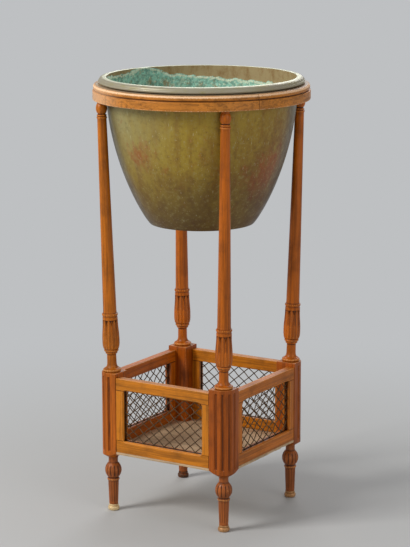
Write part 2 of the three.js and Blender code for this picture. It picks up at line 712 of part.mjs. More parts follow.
const wood = { color: WOOD_COLOUR, roughness: 0.45, metalness: 0 };
const wornWood = { color: WORN_WOOD_COLOUR, roughness: 0.55, metalness: 0 };
const paleBoard = { color: BOARD_COLOUR, roughness: 0.8, metalness: 0 };
const copper = { color: COPPER_COLOUR, roughness: 0.45, metalness: 0.8 };
const brass = { color: BRASS_COLOUR, roughness: 0.35, metalness: 0.9 };
const iron = { color: WIRE_COLOUR, roughness: 0.5, metalness: 0.7 };

function piece(parent, name, geometry, finish, place = [0, 0, 0]) {
  const mesh = new THREE.Mesh(geometry, new THREE.MeshStandardMaterial(finish));
  mesh.name = name;
  mesh.position.set(...place);
  parent.add(mesh);
  return mesh;
}

const group = new THREE.Group();

// The four corners, each turned so that its +x points out along the diagonal.
const ferrule = ferruleGeometry();
const foot = footGeometry();
const post = postGeometry();
const column = columnGeometry();
const segment = ringSegmentGeometry();
const tongue = tongueBlock(0).rotateZ(SEAM_ANGLE);
const cornerNames = ["front", "right", "back", "left"];
cornerNames.forEach((name, index) => {
  const corner = new THREE.Group();
  corner.rotation.z = -Math.PI / 4 + (index * Math.PI) / 2;
  piece(corner, `ferrule_${name}`, ferrule, brass, [postAxisRadius, 0, 0]);
  piece(corner, `foot_${name}`, foot, wood, [postAxisRadius, 0, 0]);
  piece(corner, `post_${name}`, post, wood, [postAxisRadius, 0, FOOT_HEIGHT]);
  const leaning = piece(corner, `column_${name}`, column, wood, [postAxisRadius, 0, postTop]);
  leaning.rotation.y = lean;
  piece(corner, `ring_segment_${name}`, segment, wornWood);
  piece(corner, `ring_tongue_${name}`, tongue, wood);
  group.add(corner);
});

// The four sides, each turned from the one that faces -Y.
const topRail = topRailGeometry();
const bottomRail = bottomRailGeometry();
const stile = stileGeometry();
const grille = grilleGeometry();
const sideNames = ["front_left", "front_right", "back_right", "back_left"];
sideNames.forEach((name, index) => {
  const side = new THREE.Group();
  side.rotation.z = (index * Math.PI) / 2;
  piece(side, `top_rail_${name}`, topRail, wood, [0, -railPlane, 0]);
  piece(side, `bottom_rail_${name}`, bottomRail, wood, [0, -railPlane, 0]);
  piece(side, `stile_${name}_b`, stile, wood, [0, -railPlane, 0]);
  // The other stile is the same piece turned end for end.
  const overturned = [0, -railPlane, openingTop + openingBottom];
  piece(side, `stile_${name}_a`, stile, wood, overturned).rotation.y = Math.PI;
  piece(side, `grille_${name}`, grille, iron, [0, -railPlane, 0]);
  group.add(side);
});

piece(group, "bottom_board", boardGeometry(), paleBoard);
piece(group, "bowl", bowlGeometry(), copper);

export default group;
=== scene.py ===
"""The looks of a jardiniere on a stand, built round its fixed frame.

Metres, +Z up, with the origin on the floor under the middle of the stand. A corner's own frame has
its +x pointing out along the diagonal, and a side's own frame has the side facing -Y.
"""

import math
from collections import namedtuple
from functools import partial

import bpy
import numpy as np
from mathutils import Matrix, Vector


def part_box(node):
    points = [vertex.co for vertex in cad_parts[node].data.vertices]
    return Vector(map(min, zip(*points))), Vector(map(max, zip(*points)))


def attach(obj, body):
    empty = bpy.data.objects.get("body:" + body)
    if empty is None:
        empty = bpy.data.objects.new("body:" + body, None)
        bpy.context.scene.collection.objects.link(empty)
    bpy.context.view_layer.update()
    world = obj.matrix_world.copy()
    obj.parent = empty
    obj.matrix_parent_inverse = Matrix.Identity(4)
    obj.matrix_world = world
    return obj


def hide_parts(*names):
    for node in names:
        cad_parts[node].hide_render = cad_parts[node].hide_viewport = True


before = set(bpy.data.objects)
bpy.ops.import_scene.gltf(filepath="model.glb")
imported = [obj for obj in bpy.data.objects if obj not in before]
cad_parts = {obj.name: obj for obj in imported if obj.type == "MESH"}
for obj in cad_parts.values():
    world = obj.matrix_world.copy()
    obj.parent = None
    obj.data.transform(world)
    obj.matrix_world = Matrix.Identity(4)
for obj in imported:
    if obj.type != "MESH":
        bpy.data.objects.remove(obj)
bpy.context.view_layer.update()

bl_info = {
    "name": "Jardiniere on a Stand",
    "version": (1, 0, 0),
    "blender": (4, 5, 0),
    "location": "3D View > Sidebar > Jardiniere",
    "description": "Builds a copper jardiniere and its wooden stand round their frame",
    "category": "Add Mesh",
}

MM = 0.001
CORNERS = ("front", "right", "back", "left")
SIDES = ("front_left", "front_right", "back_right", "back_left")

# How far the own frame of each corner and side is turned about z
TURNS = {corner: (index - 0.5) * math.pi / 2 for index, corner in enumerate(CORNERS)}
TURNS.update({side: index * math.pi / 2 for index, side in enumerate(SIDES)})

# Places that the frame gives
POST_LOW, POST_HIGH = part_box("post_front")
POST_FOOT, POST_TOP = POST_LOW.z, POST_HIGH.z
POST_WIDTH = POST_HIGH.x - POST_LOW.x
POST_AXIS = (POST_HIGH.x + POST_LOW.x) / 2
POST_AXIS_RADIUS = POST_AXIS * math.sqrt(2)
BAY_HALF = POST_AXIS - POST_WIDTH / 2
FERRULE_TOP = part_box("ferrule_front")[1].z
RING_BOTTOM, RING_TOP = (corner.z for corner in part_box("ring_segment_front"))
RING_RADIUS = max(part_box("ring_segment_" + corner)[1].x for corner in CORNERS)
RAIL_LOW, RAIL_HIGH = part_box("top_rail_front_left")
RAIL_PLANE = (RAIL_LOW.y + RAIL_HIGH.y) / 2
RAIL_FOOT, OPENING_BOTTOM = (corner.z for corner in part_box("bottom_rail_front_left"))
OPENING_TOP = RAIL_LOW.z
OPENING_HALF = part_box("stile_front_left_b")[0].x
GRILLE_LOW, GRILLE_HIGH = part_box("grille_front_left")
BOARD_LOW, BOARD_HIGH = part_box("bottom_board")
BOWL_LOW, BOWL_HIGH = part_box("bowl")
SEAT_GAP = 0.3 * MM  # between two faces that meet


# ------------------------------------------------------------------------------ settings of a user


SETTINGS = {}  # each group of settings, under its name in the scene


def length(millimetres, about):
    """A size, written in millimetres and kept in metres."""
    size = partial(bpy.props.FloatProperty, default=millimetres * MM, unit="LENGTH", precision=5)
    return partial(size, description=about)


def count(number, about):
    return partial(bpy.props.IntProperty, description=about, default=number, min=1)


def angle(degrees, about):
    turn = math.radians(degrees)
    return partial(bpy.props.FloatProperty, description=about, default=turn, subtype="ANGLE")


def number(value, about):
    return partial(bpy.props.FloatProperty, description=about, default=value)


def spot(metres, about):
    where = partial(bpy.props.FloatVectorProperty, default=metres, subtype="XYZ", unit="LENGTH")
    return partial(where, description=about)


def linear(*screen):
    """A colour as a screen shows it, 0 to 255, as the linear light that materials take."""
    light = (np.array(screen, float) / 255 + 0.055) / 1.055
    return tuple(light**2.4)


def colour(screen, about):
    shade = partial(bpy.props.FloatVectorProperty, default=linear(*screen), size=3, subtype="COLOR")
    return partial(shade, description=about, min=0, max=1)


def group_of_settings(group):
    """Names each setting of a group after its attribute, and lists the group under its own name."""
    for key, setting in group.__annotations__.items():
        group.__annotations__[key] = setting(name=key.replace("_", " ").title())
    SETTINGS["jardiniere_" + group.__name__.removesuffix("Settings").lower()] = group
    return group


@group_of_settings
class ColumnSettings(bpy.types.PropertyGroup):
    """Sizes of a turned column, on its own leaning axis."""

    inset: length(14.4, "From the ring's outside in to the column's axis")
    base_radius: length(19, "Of the round base on the post")
    waist_radius: length(9.7, "Of the narrow neck above the base")
    fillet_radius: length(15.2, "Of the disc under the leaf sleeve")
    sleeve_radius: length(17.9, "Of the leaf sleeve at its belly")
    sleeve_top_radius: length(15.8, "Of the leaf sleeve under its band")
    band_radius: length(16.9, "Of the band above the leaves")
    shaft_foot_radius: length(14, "Of the shaft above the band")
    shaft_head_radius: length(9.6, "Of the shaft under its collar")
    collar_radius: length(11, "Of the ring under the ball")
    ball_radius: length(11.6, "Of the ball under the ring of wood")
    leaves: count(8, "In each of the sleeve's two rows")
    leaf_depth: length(2.1, "From a leaf's face down to the ground behind it")
    beads: count(22, "Round the band above the leaves")


@group_of_settings
class PostSettings(bpy.types.PropertyGroup):
    """Sizes of a corner post."""

    corner_radius: length(24, "Of the rounded outer corner")
    arris: length(0.7, "Rounding of the other corners and of the top")
    flutes: count(4, "Down the rounded corner and its flanks")
    flute_spacing: length(15.3, "Between two flutes, along the outline")
    flute_radius: length(3.4, "Half the width of a flute")
    flute_lower_end: length(15, "From the underside of the post up to a flute")
    flute_upper_end: length(7, "From the top of the post down to a flute")
    shoulder_height: length(14, "Of the turned slope at the lower end")
    shoulder_radius: length(11.9, "Of the post's underside")


@group_of_settings
class FootSettings(bpy.types.PropertyGroup):
    """Sizes of a turned foot and its ferrule."""

    leg_foot_radius: length(9.5, "Of the leg above the ferrule")
    leg_head_radius: length(11.3, "Of the leg under its collar")
    leg_flutes: count(12, "Round the leg")
    leg_flute_depth: length(0.6, "Of a flute on the leg")
    collar_radius: length(13.6, "Of the collar above the leg")
    collar_height: length(5.5, "Of the collar above the leg")
    ball_radius: length(17.6, "Of the ball")
    ball_height: length(35.5, "Of the ball")
    gadroons: count(12, "Round the ball")
    gadroon_depth: length(1.3, "Between two gadroons")
    neck_radius: length(9.8, "Between the ball and the post")
    neck_height: length(6, "Between the ball and the foot's head")
    head_radius: length(10.8, "Where the foot meets the post")
    head_height: length(4.5, "From the neck up to the post")
    ferrule_radius: length(12.2, "Of the brass ferrule")


@group_of_settings
class FrameSettings(bpy.types.PropertyGroup):
    """Sizes of the rails and stiles round the openings, and of the wires in them."""

    chamfer: length(3, "Round the front of an opening")
    chamfer_corner: length(8, "Radius of the chamfer's corners")
    arris: length(0.7, "Rounding of the other edges and of the joints")
    groove_depth: length(5, "Of the groove that holds the grille")
    groove_width: length(4.4, "Of the groove that holds the grille")
    wire: length(2.1, "Thickness of the wire")
    diamond_width: length(25.4, "Of a mesh of the grille")
    diamond_height: length(21.3, "Of a mesh of the grille")


@group_of_settings
class BoardSettings(bpy.types.PropertyGroup):
    """Sizes of the bottom board's wear and its nails."""

    chip: length(2.2, "Depth to which the board's edge is worn away")
    nails: count(5, "Along each side")
    nail_inset: length(4, "From the board's edge in to a nail")
    nail_radius: length(3.2, "Of a nail's head")
    nail_height: length(1.9, "Of a nail's head below the board")


@group_of_settings
class RingSettings(bpy.types.PropertyGroup):
    """Sizes of the ring that carries the bowl."""

    width: length(24.5, "From the outside in to the bore")
    fascia_height: length(18.6, "Of the plain band")
    bead_setback: length(2, "Of the bead behind the fascia")
    groove_setback: length(3.7, "Of the groove behind the fascia")
    top_setback: length(7, "Of the flat top behind the fascia")
    seam: angle(17.7, "From a column round to the next joint")


@group_of_settings
class BowlSettings(bpy.types.PropertyGroup):
    """Sizes of the bowl, its rim and the crust inside it."""

    radius: length(198.3, "Of the wall at the mouth")
    base_radius: length(109, "Of the flat bottom")
    swell_power: number(1.86, "How slowly the wall draws in below the mouth")
    round_power: number(0.88, "How sharply the wall turns into the bottom")
    wall: length(2, "Thickness of the copper")
    rim_drop: length(7.6, "Inner edge down to the lip")
    seat_width: length(5, "Of the bead that rests on the ring")
    crust: length(2.6, "Thickness of the verdigris crust")


@group_of_settings
class WoodSettings(bpy.types.PropertyGroup):
    """Colours of the waxed wood."""

    honey: colour((212, 128, 24), "Faded rails")
    amber: colour((200, 112, 18), "The column on the left and the rails on the right")
    russet: colour((196, 102, 12), "Columns")
    chestnut: colour((174, 86, 12), "Posts")
    umber: colour((176, 96, 40), "Feet")
    worn: colour((230, 168, 96), "Arrises where the polish is gone")
    # Worn edges, the paler front left, and the painted highlight along the ring's bead
    ring_tone: colour((208, 132, 50), "The ring's sides")
    ring_worn: colour((255, 214, 172), "The ring's worn edges")
    ring_top: colour((172, 160, 138), "The ring's dusty top")
    # Grime in joints, and painted shade in grooves, flutes and creases
    grime: colour((60, 26, 8), "Grooves and joints")
    bare: colour((206, 176, 140), "The unpolished bottom board")


@group_of_settings
class MetalSettings(bpy.types.PropertyGroup):
    """Colours of the bowl, the ferrules and the wires."""

    olive: colour((166, 140, 48), "The bowl's patina")
    sage: colour((158, 150, 98), "Greener parts of the patina")
    brown: colour((126, 86, 34), "Browner parts of the patina")
    umber: colour((76, 54, 38), "Darker parts of the patina")
    copper: colour((160, 84, 36), "Bare copper in the patina")
    # Painted shade down the two sides of the bowl that the camera sees at a grazing angle
    slate: colour((78, 76, 62), "Tarnish down two sides of the bowl")
    verdigris: colour((160, 214, 196), "The crust inside the bowl")
    # Pale specks on the patina and the crust, and the painted highlight along the rim's top edge
    lime: colour((226, 232, 206), "Pale specks on the crust")
    inside: colour((166, 144, 104), "The bowl's wall above the crust")
    gilt: colour((236, 214, 164), "The ferrule on the left")
    bronze: colour((196, 146, 98), "The front and right ferrules")
    rim: colour((164, 158, 138), "The bowl's rim")
    wire: colour((104, 80, 54), "The grilles")
    iron: colour((56, 44, 34), "Nails, and tarnish on the grilles")


@group_of_settings
class StageSettings(bpy.types.PropertyGroup):
    """The camera and the floor."""

    camera_place: spot((2.3603, -3.7605, 1.4349), "Where the camera stands")
    azimuth: angle(32.036, "Turn of the camera round the stand")
    pitch: angle(11.863, "How far the camera looks down")
    roll: angle(-0.139, "How far the camera leans")
    lens: number(142.36, "Focal length in millimetres")
    backdrop: colour((190, 192, 194), "Floor and background")


# ---------------------------------------------------------------------------------------- surfaces


# Points with faces, and for each point where it lies in its plank, z along the grain, and how far it
# stands out: -1 in a groove, 0 on a plain face and 1 on an arris
Surface = namedtuple("Surface", "points faces grain relief")


def skin(rows, relief=0.0, grain=None):
    """Quads from each row of points to the next, with each row closed on itself and a flat face over
    the first and the last. The faces are turned outwards: the volume that they enclose, a sixth of
    the sum of the triple products of each triangle's corners, has to be positive."""
    stations, around = rows.shape[:2]
    index = np.arange(stations * around).reshape(stations, around)
    after = np.roll(index, -1, axis=1)
    quads = np.stack([index[:-1], after[:-1], after[1:], index[1:]], axis=-1).reshape(-1, 4)
    points = rows.reshape(-1, 3)
    centred = points - points.mean(0)
    volume = 0.0
    for b, c in ((1, 2), (2, 3)):
        normals = np.cross(centred[quads[:, b]], centred[quads[:, c]])
        volume += (centred[quads[:, 0]] * normals).sum()
    caps = [index[0, ::-1], index[-1]]
    if volume < 0:
        quads = quads[:, ::-1]
        caps = [cap[::-1] for cap in caps]
    faces = quads.tolist() + [cap.tolist() for cap in caps]
    depth = np.broadcast_to(relief, (stations, around)).reshape(-1)
    plank = points if grain is None else grain.reshape(-1, 3)
    return Surface(points, faces, plank, depth)


def joined(surfaces):
    """Several surfaces as one, with each one's faces counted on from the last one's points."""
    points, faces, grain, relief = zip(*surfaces)
    firsts = np.cumsum([0] + [len(part) for part in points]).tolist()
    counted_on = [
        [corner + first for corner in face] for first, part in zip(firsts, faces) for face in part
    ]
    return Surface(np.concatenate(points), counted_on, np.concatenate(grain), np.concatenate(relief))


def about_z(points, turn):
    """Points turned about the middle axis."""
    cosine, sine = math.cos(turn), math.sin(turn)
    return points @ np.array([[cosine, sine, 0], [-sine, cosine, 0], [0, 0, 1]])


def piece(node, made, surface, material, place=None, plank=0, body="stand", sharp=38):
    """A surface as an object that stands for a CAD node, turned to its corner or side. plank sets it
    apart in the grain, so that no two pieces show the same figure."""
    name = f"{node}_{made}" if node else made
    mesh = bpy.data.meshes.new(name)
    mesh.from_pydata(about_z(surface.points, TURNS.get(place, 0)), [], surface.faces)
    grain = mesh.attributes.new("grain", "FLOAT_VECTOR", "POINT")
    moved = surface.grain + plank * np.array([0.37, 0.61, 1.93])
    grain.data.foreach_set("vector", moved.astype(np.float32).ravel())
    relief = mesh.attributes.new("relief", "FLOAT", "POINT")
    relief.data.foreach_set("value", surface.relief.astype(np.float32))
    mesh.shade_smooth()
    mesh.set_sharp_from_angle(angle=math.radians(sharp))
    mesh.materials.append(material)
    shown = bpy.data.objects.new(name, mesh)
    bpy.context.scene.collection.objects.link(shown)
    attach(shown, body)
    if node:
        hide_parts(node)


def smooth(value, low, high):
    """0 at low and 1 at high, with an S between them: 3t^2 - 2t^3."""
    t = np.clip((value - low) / (high - low), 0, 1)
    return t * t * (3 - 2 * t)


def bell(distance, reach):
    """1 at no distance, and the exponential of less the square of distance over reach."""
    return np.exp(-((distance / reach) ** 2))


def circle(sides):
    """Angles evenly round a turn."""
    return np.arange(sides) * 2 * np.pi / sides


def mottle(points, cell, seed):
    """Noise from -1 to 1: a random value at each corner of a lattice of cells, mixed between the
    eight corners round a point by an S-shaped weight along each axis."""
    table = np.random.default_rng(seed).uniform(-1, 1, (64, 64, 64))
    scaled = points / cell
    base = np.floor(scaled).astype(int)
    t = smooth(scaled - base, 0, 1)
    total = np.zeros(points.shape[:-1])
    for corner in np.ndindex(2, 2, 2):
        at = (base + corner) % 64
        weight = np.prod(np.where(np.array(corner) == 1, t, 1 - t), axis=-1)
        total += weight * table[at[..., 0], at[..., 1], at[..., 2]]
    return total


def profile(start, mouldings, spacing):
    """Radius and height along a turning, from the start through each moulding in turn. Along a
    moulding t runs from 0 to 1, and
      line  goes straight,
      cove  changes radius by the sine of a quarter turn and height by one less its cosine,
      round changes radius by one less the cosine and height by the sine,
      ogee  changes radius by half of one less the cosine of a half turn, and height evenly,
      bead  goes straight and bulges by the sine of a half turn, its height along a half ellipse,
      ball  has its greatest radius times the cosine of a latitude, and height by the sine.
    Then points are added, so that none lie further apart than the spacing."""
    points = [np.array([start])]
    radius, height = start
    for kind, to_radius, to_height, *size in mouldings:
        steps = 1 if kind == "line" else 14
        t = np.arange(1, steps + 1) / steps
        quarter, half = np.pi / 2 * t, np.pi * t
        out = {"cove": np.sin(quarter), "round": 1 - np.cos(quarter), "ogee": (1 - np.cos(half)) / 2}
        up = {"cove": 1 - np.cos(quarter), "round": np.sin(quarter), "bead": (1 - np.cos(half)) / 2}
        along = radius + (to_radius - radius) * out.get(kind, t)
        rising = up.get(kind, t)
        if kind == "bead":
            along = along + size[0] * np.sin(half)
        if kind == "ball":
            low, high = -math.acos(radius / size[0]), math.acos(to_radius / size[0])
            latitude = low + (high - low) * t
            along = size[0] * np.cos(latitude)
            rising = (np.sin(latitude) - math.sin(low)) / (math.sin(high) - math.sin(low))
        points.append(np.stack([along, height + (to_height - height) * rising], axis=-1))
        radius, height = to_radius, to_height
    points = np.concatenate(points)
    places = lengths_along(points)
    fine = [
        np.linspace(low, high, max(2, math.ceil((high - low) / spacing) + 1))
        for low, high in zip(places[:-1], places[1:])
    ]
    fine = np.unique(np.concatenate(fine))
    return np.stack([np.interp(fine, places, points[:, axis]) for axis in (0, 1)], axis=-1)


def lengths_along(outline):
    """How far each point of an outline lies from its start, along it."""
    return np.concatenate([[0], np.cumsum(np.hypot(*np.diff(outline, axis=0).T))])


def standing_out(outline, reach=5 * MM, depth=1.6 * MM, step=0.5 * MM):
    """How far each point of a turning's outline stands out: its radius less the mean radius within
    reach along the outline, as a share of depth."""
    places = lengths_along(outline)
    even = np.arange(0, places[-1], step)
    radius = np.interp(even, places, outline[:, 0])
    width = int(reach / step)
    window = np.ones(2 * width + 1) / (2 * width + 1)
    mean = np.convolve(np.pad(radius, width, mode="edge"), window, mode="valid")
    return np.clip(np.interp(places, even, radius - mean) / depth, -1, 1)


def turning(outline, sides, carving=None):
    """An outline swept round the z axis. carving(height, angle) gives what is added to the radius,
    and how far that stands out."""
    around = circle(sides)
    radius, height = outline[:, :1], outline[:, 1:]
    # Hollows of the outline get grime and painted shade through this relief, and what stands out gets wear
    relief = standing_out(outline)[:, None] + 0 * around
    if carving:
        cut, standing = carving(height, around[None, :])
        radius = radius + cut
        relief = np.clip(relief + standing, -1, 1)
    rows = np.stack([radius * np.cos(around), radius * np.sin(around), height + 0 * around], axis=-1)
    return skin(rows, relief)


# ---------------------------------------------------------------------------------------- finishes


class Recipe:
    """The nodes of a new material, or of a world. Each method adds a node and gives back what comes
    out of it."""

    def __init__(self, owner):
        self.owner = owner if isinstance(owner, bpy.types.ID) else bpy.data.materials.new(owner)
        self.owner.use_nodes = True
        self.tree = self.owner.node_tree

    def link(self, value, socket):
        if isinstance(value, bpy.types.NodeSocket):
            self.tree.links.new(value, socket)
        else:
            socket.default_value = value

    def add(self, kind, inputs, output=0, **settings):
        node = self.tree.nodes.new(kind)
        for name, value in settings.items():
            setattr(node, name, value)
        for socket, value in inputs.items():
            self.link(value, node.inputs[socket])
        return node.outputs[output]

    def place(self):
        return self.add("ShaderNodeTexCoord", {}, output="Object")

    def grain(self):
        return self.add("ShaderNodeAttribute", {}, output="Vector", attribute_name="grain")

    def relief(self):
        return self.add("ShaderNodeAttribute", {}, output="Fac", attribute_name="relief")

    def parts(self, point):
        return self.add("ShaderNodeSeparateXYZ", {0: point}).node.outputs

    def stretched(self, point, factors):
        return self.add("ShaderNodeVectorMath", {0: point, 1: factors}, operation="MULTIPLY")

    def noise(self, point, scale, detail, roughness, distortion=0.0, along=1):
        """Noise at a point, finer along z where along is above 1 and drawn out where it is below."""
        if along != 1:
            point = self.stretched(point, (1, 1, along))
        inputs = {"Vector": point, "Scale": scale, "Detail": detail}
        inputs.update({"Roughness": roughness, "Distortion": distortion})
        return self.add("ShaderNodeTexNoise", inputs)

    def span(self, value, low, high, to_low=0.0, to_high=1.0):
        """value from low to high, as an S from to_low to to_high."""
        inputs = {"Value": value, "From Min": low, "From Max": high}
        inputs.update({"To Min": to_low, "To Max": to_high})
        return self.add("ShaderNodeMapRange", inputs, interpolation_type="SMOOTHSTEP")

    def sum(self, a, b):
        return self.add("ShaderNodeMath", {0: a, 1: b}, operation="ADD")

    def product(self, a, b):
        return self.add("ShaderNodeMath", {0: a, 1: b}, operation="MULTIPLY")

    def larger(self, a, b):
        return self.add("ShaderNodeMath", {0: a, 1: b}, operation="MAXIMUM")

    def over(self, first, second, share, *span):
        """The second colour over the first, by a share or by the span of a value."""
        first, second = (c if isinstance(c, bpy.types.NodeSocket) else (*c, 1.0) for c in (first, second))
        inputs = {0: self.span(share, *span) if span else share, 6: first, 7: second}
        return self.add("ShaderNodeMix", inputs, output=2, data_type="RGBA")

    def near(self, place, reach, soft):
        """1 at a place on the object and 0 past its reach, with a soft edge."""
        inputs = {0: self.place(), 1: place}
        distance = self.add("ShaderNodeVectorMath", inputs, output="Value", operation="DISTANCE")
        return self.span(distance, reach - soft, reach, 1.0, 0.0)

    def bumps(self, height, distance, strength, **below):
        inputs = {"Height": height, "Distance": distance, "Strength": strength, **below}
        return self.add("ShaderNodeBump", inputs, output="Normal")

    def finish(self, **inputs):
        """Sets or links the shader's inputs, named with _ for each space."""
        for name, value in inputs.items():
            self.link(value, self.tree.nodes["Principled BSDF"].inputs[name.replace("_", " ")])
        return self.owner

    def end(self, shader):
        """Puts a shader of its own where the light comes from."""
        outputs = [node for node in self.tree.nodes if node.bl_idname.startswith("ShaderNodeOutput")]
        self.link(shader, outputs[0].inputs["Surface"])
        return self.owner


def darker(shade, share):
    return tuple(share * part for part in shade)


def wood_finish(name, tone, worn, grime, wear, gloss, more=None):
    """Waxed wood: broad bands and streaks along the grain, dark pores, grime and painted shade in what
    lies deep and bare pale wood on what stands out, with a soft gloss that is duller where the polish
    is gone.
    more(recipe, shade) gives the colour with more laid over it."""
    recipe = Recipe(name)
    grain, relief = recipe.grain(), recipe.relief()
    second, dark = darker(tone, 0.42), darker(tone, 0.16)
    bands = recipe.noise(grain, 70, 3, 0.55, 0.7, along=0.07)
    figure = recipe.noise(grain, 210, 4, 0.7, along=0.025)
    streaks = recipe.noise(grain, 520, 4, 0.6, along=0.03)
    pores = recipe.noise(grain, 1500, 2, 0.6, along=0.05)
    patches = recipe.noise(grain, 22, 3, 0.6)
    shade = recipe.over(tone, second, bands, 0.4, 0.72, 0, 0.5)
    shade = recipe.over(shade, second, figure, 0.46, 0.62, 0, 0.7)
    shade = recipe.over(shade, second, streaks, 0.48, 0.75, 0, 0.4)
    shade = recipe.over(shade, dark, pores, 0.6, 0.74, 0, 0.5)
    shade = recipe.over(shade, dark, patches, 0.48, 0.75, 0, 0.4)
    deep = recipe.sum(relief, recipe.span(patches, 0, 1, -0.2, 0.2))
    # Grime and painted shade where the relief is below 0: in grooves, flutes, creases and joints
    shade = recipe.over(shade, grime, deep, -0.12, -0.7, 0, 0.92)
    high = recipe.sum(relief, recipe.span(recipe.noise(grain, 420, 3, 0.6), 0, 1, -0.45, 0.45))
    bare = recipe.product(recipe.span(high, 0.3, 0.9), wear)
    shade = recipe.over(shade, worn, bare)
    height = recipe.sum(recipe.product(pores, -0.6), recipe.product(streaks, 0.5))
    return recipe.finish(
        Base_Color=more(recipe, shade) if more else shade,
        Roughness=recipe.sum(recipe.span(patches, 0.2, 0.8, gloss, 0.5), recipe.product(bare, 0.2)),
        Normal=recipe.bumps(height, 0.12 * MM, 0.6),
        Specular_IOR_Level=0.3,
    )


def waxed_wood(context, tone):
    """The stand's wood in one of its tones, made once."""
    name = "wood_" + tone
    if name in bpy.data.materials:
        return bpy.data.materials[name]
    wood = context.scene.jardiniere_wood
    return wood_finish(name, getattr(wood, tone), wood.worn, wood.grime, 0.6, 0.32)


def ring_wood(settings):
    """The ring's wood: paler and pinker towards the front left, grey on its flat top, with wear and a
    painted highlight along the top of its bead, and with dark chips in the wear."""

    def faded_and_chipped(recipe, shade):
        place = recipe.place()
        # Paler and pinker towards the front left
        paler_front_left = recipe.near((-0.15, -0.16, 0.89), 0.13, 0.11)
        shade = recipe.over(shade, settings.ring_worn, recipe.product(paler_front_left, 0.4))
        smudge = recipe.span(recipe.noise(place, 60, 4, 0.65), 0.3, 0.7, 0.95, 0.5)
        level = recipe.span(recipe.parts(place)["Z"], RING_TOP - 0.5 * MM, RING_TOP - 0.1 * MM)
        shade = recipe.over(shade, settings.ring_top, recipe.product(level, smudge))
        return recipe.over(shade, settings.grime, recipe.noise(place, 260, 4, 0.6), 0.64, 0.7, 0, 0.7)

    worn, grime = settings.ring_worn, settings.grime
    return wood_finish("wood_ring", settings.ring_tone, worn, grime, 0.9, 0.36, faded_and_chipped)


def bare_board(settings):
    """Unpolished wood, dry and stained, with open grain."""
    recipe = Recipe("bare_board")
    grain = recipe.grain()
    streaks = recipe.noise(grain, 260, 4, 0.65, along=0.02)
    stains = recipe.noise(grain, 18, 5, 0.65)
    dark = darker(settings.bare, 0.36)
    shade = recipe.over(settings.bare, dark, streaks, 0.35, 0.75, 0, 0.5)
    shade = recipe.over(shade, dark, stains, 0.48, 0.72, 0, 0.6)
    shade = recipe.over(shade, settings.grime, recipe.relief(), -0.1, -0.8, 0, 0.8)
    bumps = recipe.bumps(recipe.sum(streaks, stains), 0.3 * MM, 0.6)
    return recipe.finish(Base_Color=shade, Roughness=0.85, Normal=bumps)


def tongue_wood(settings):
    """Plain wood for the tongues inside the ring, streaked across z."""
    recipe = Recipe("tongue_wood")
    streaks = recipe.noise(recipe.stretched(recipe.place(), (0.1, 0.1, 1)), 600, 4, 0.6)
    shade = recipe.over(settings.bare, darker(settings.bare, 0.5), streaks)
    return recipe.finish(Base_Color=shade, Roughness=0.8, Normal=recipe.bumps(streaks, 0.1 * MM, 0.5))


# Where the bowl's patina is rubbed through to the copper, and how far round that it fades
RUBBED = (
    ((0.163, -0.03, 0.722), 0.085),
    ((0.175, -0.012, 0.752), 0.065),
    ((-0.034, -0.178, 0.768), 0.06),
    ((-0.15, 0.09, 0.74), 0.08),
)
EDGE_SHADE_SIDE = math.radians(32)  # from +x round to one of the two sides of the bowl that get painted shade
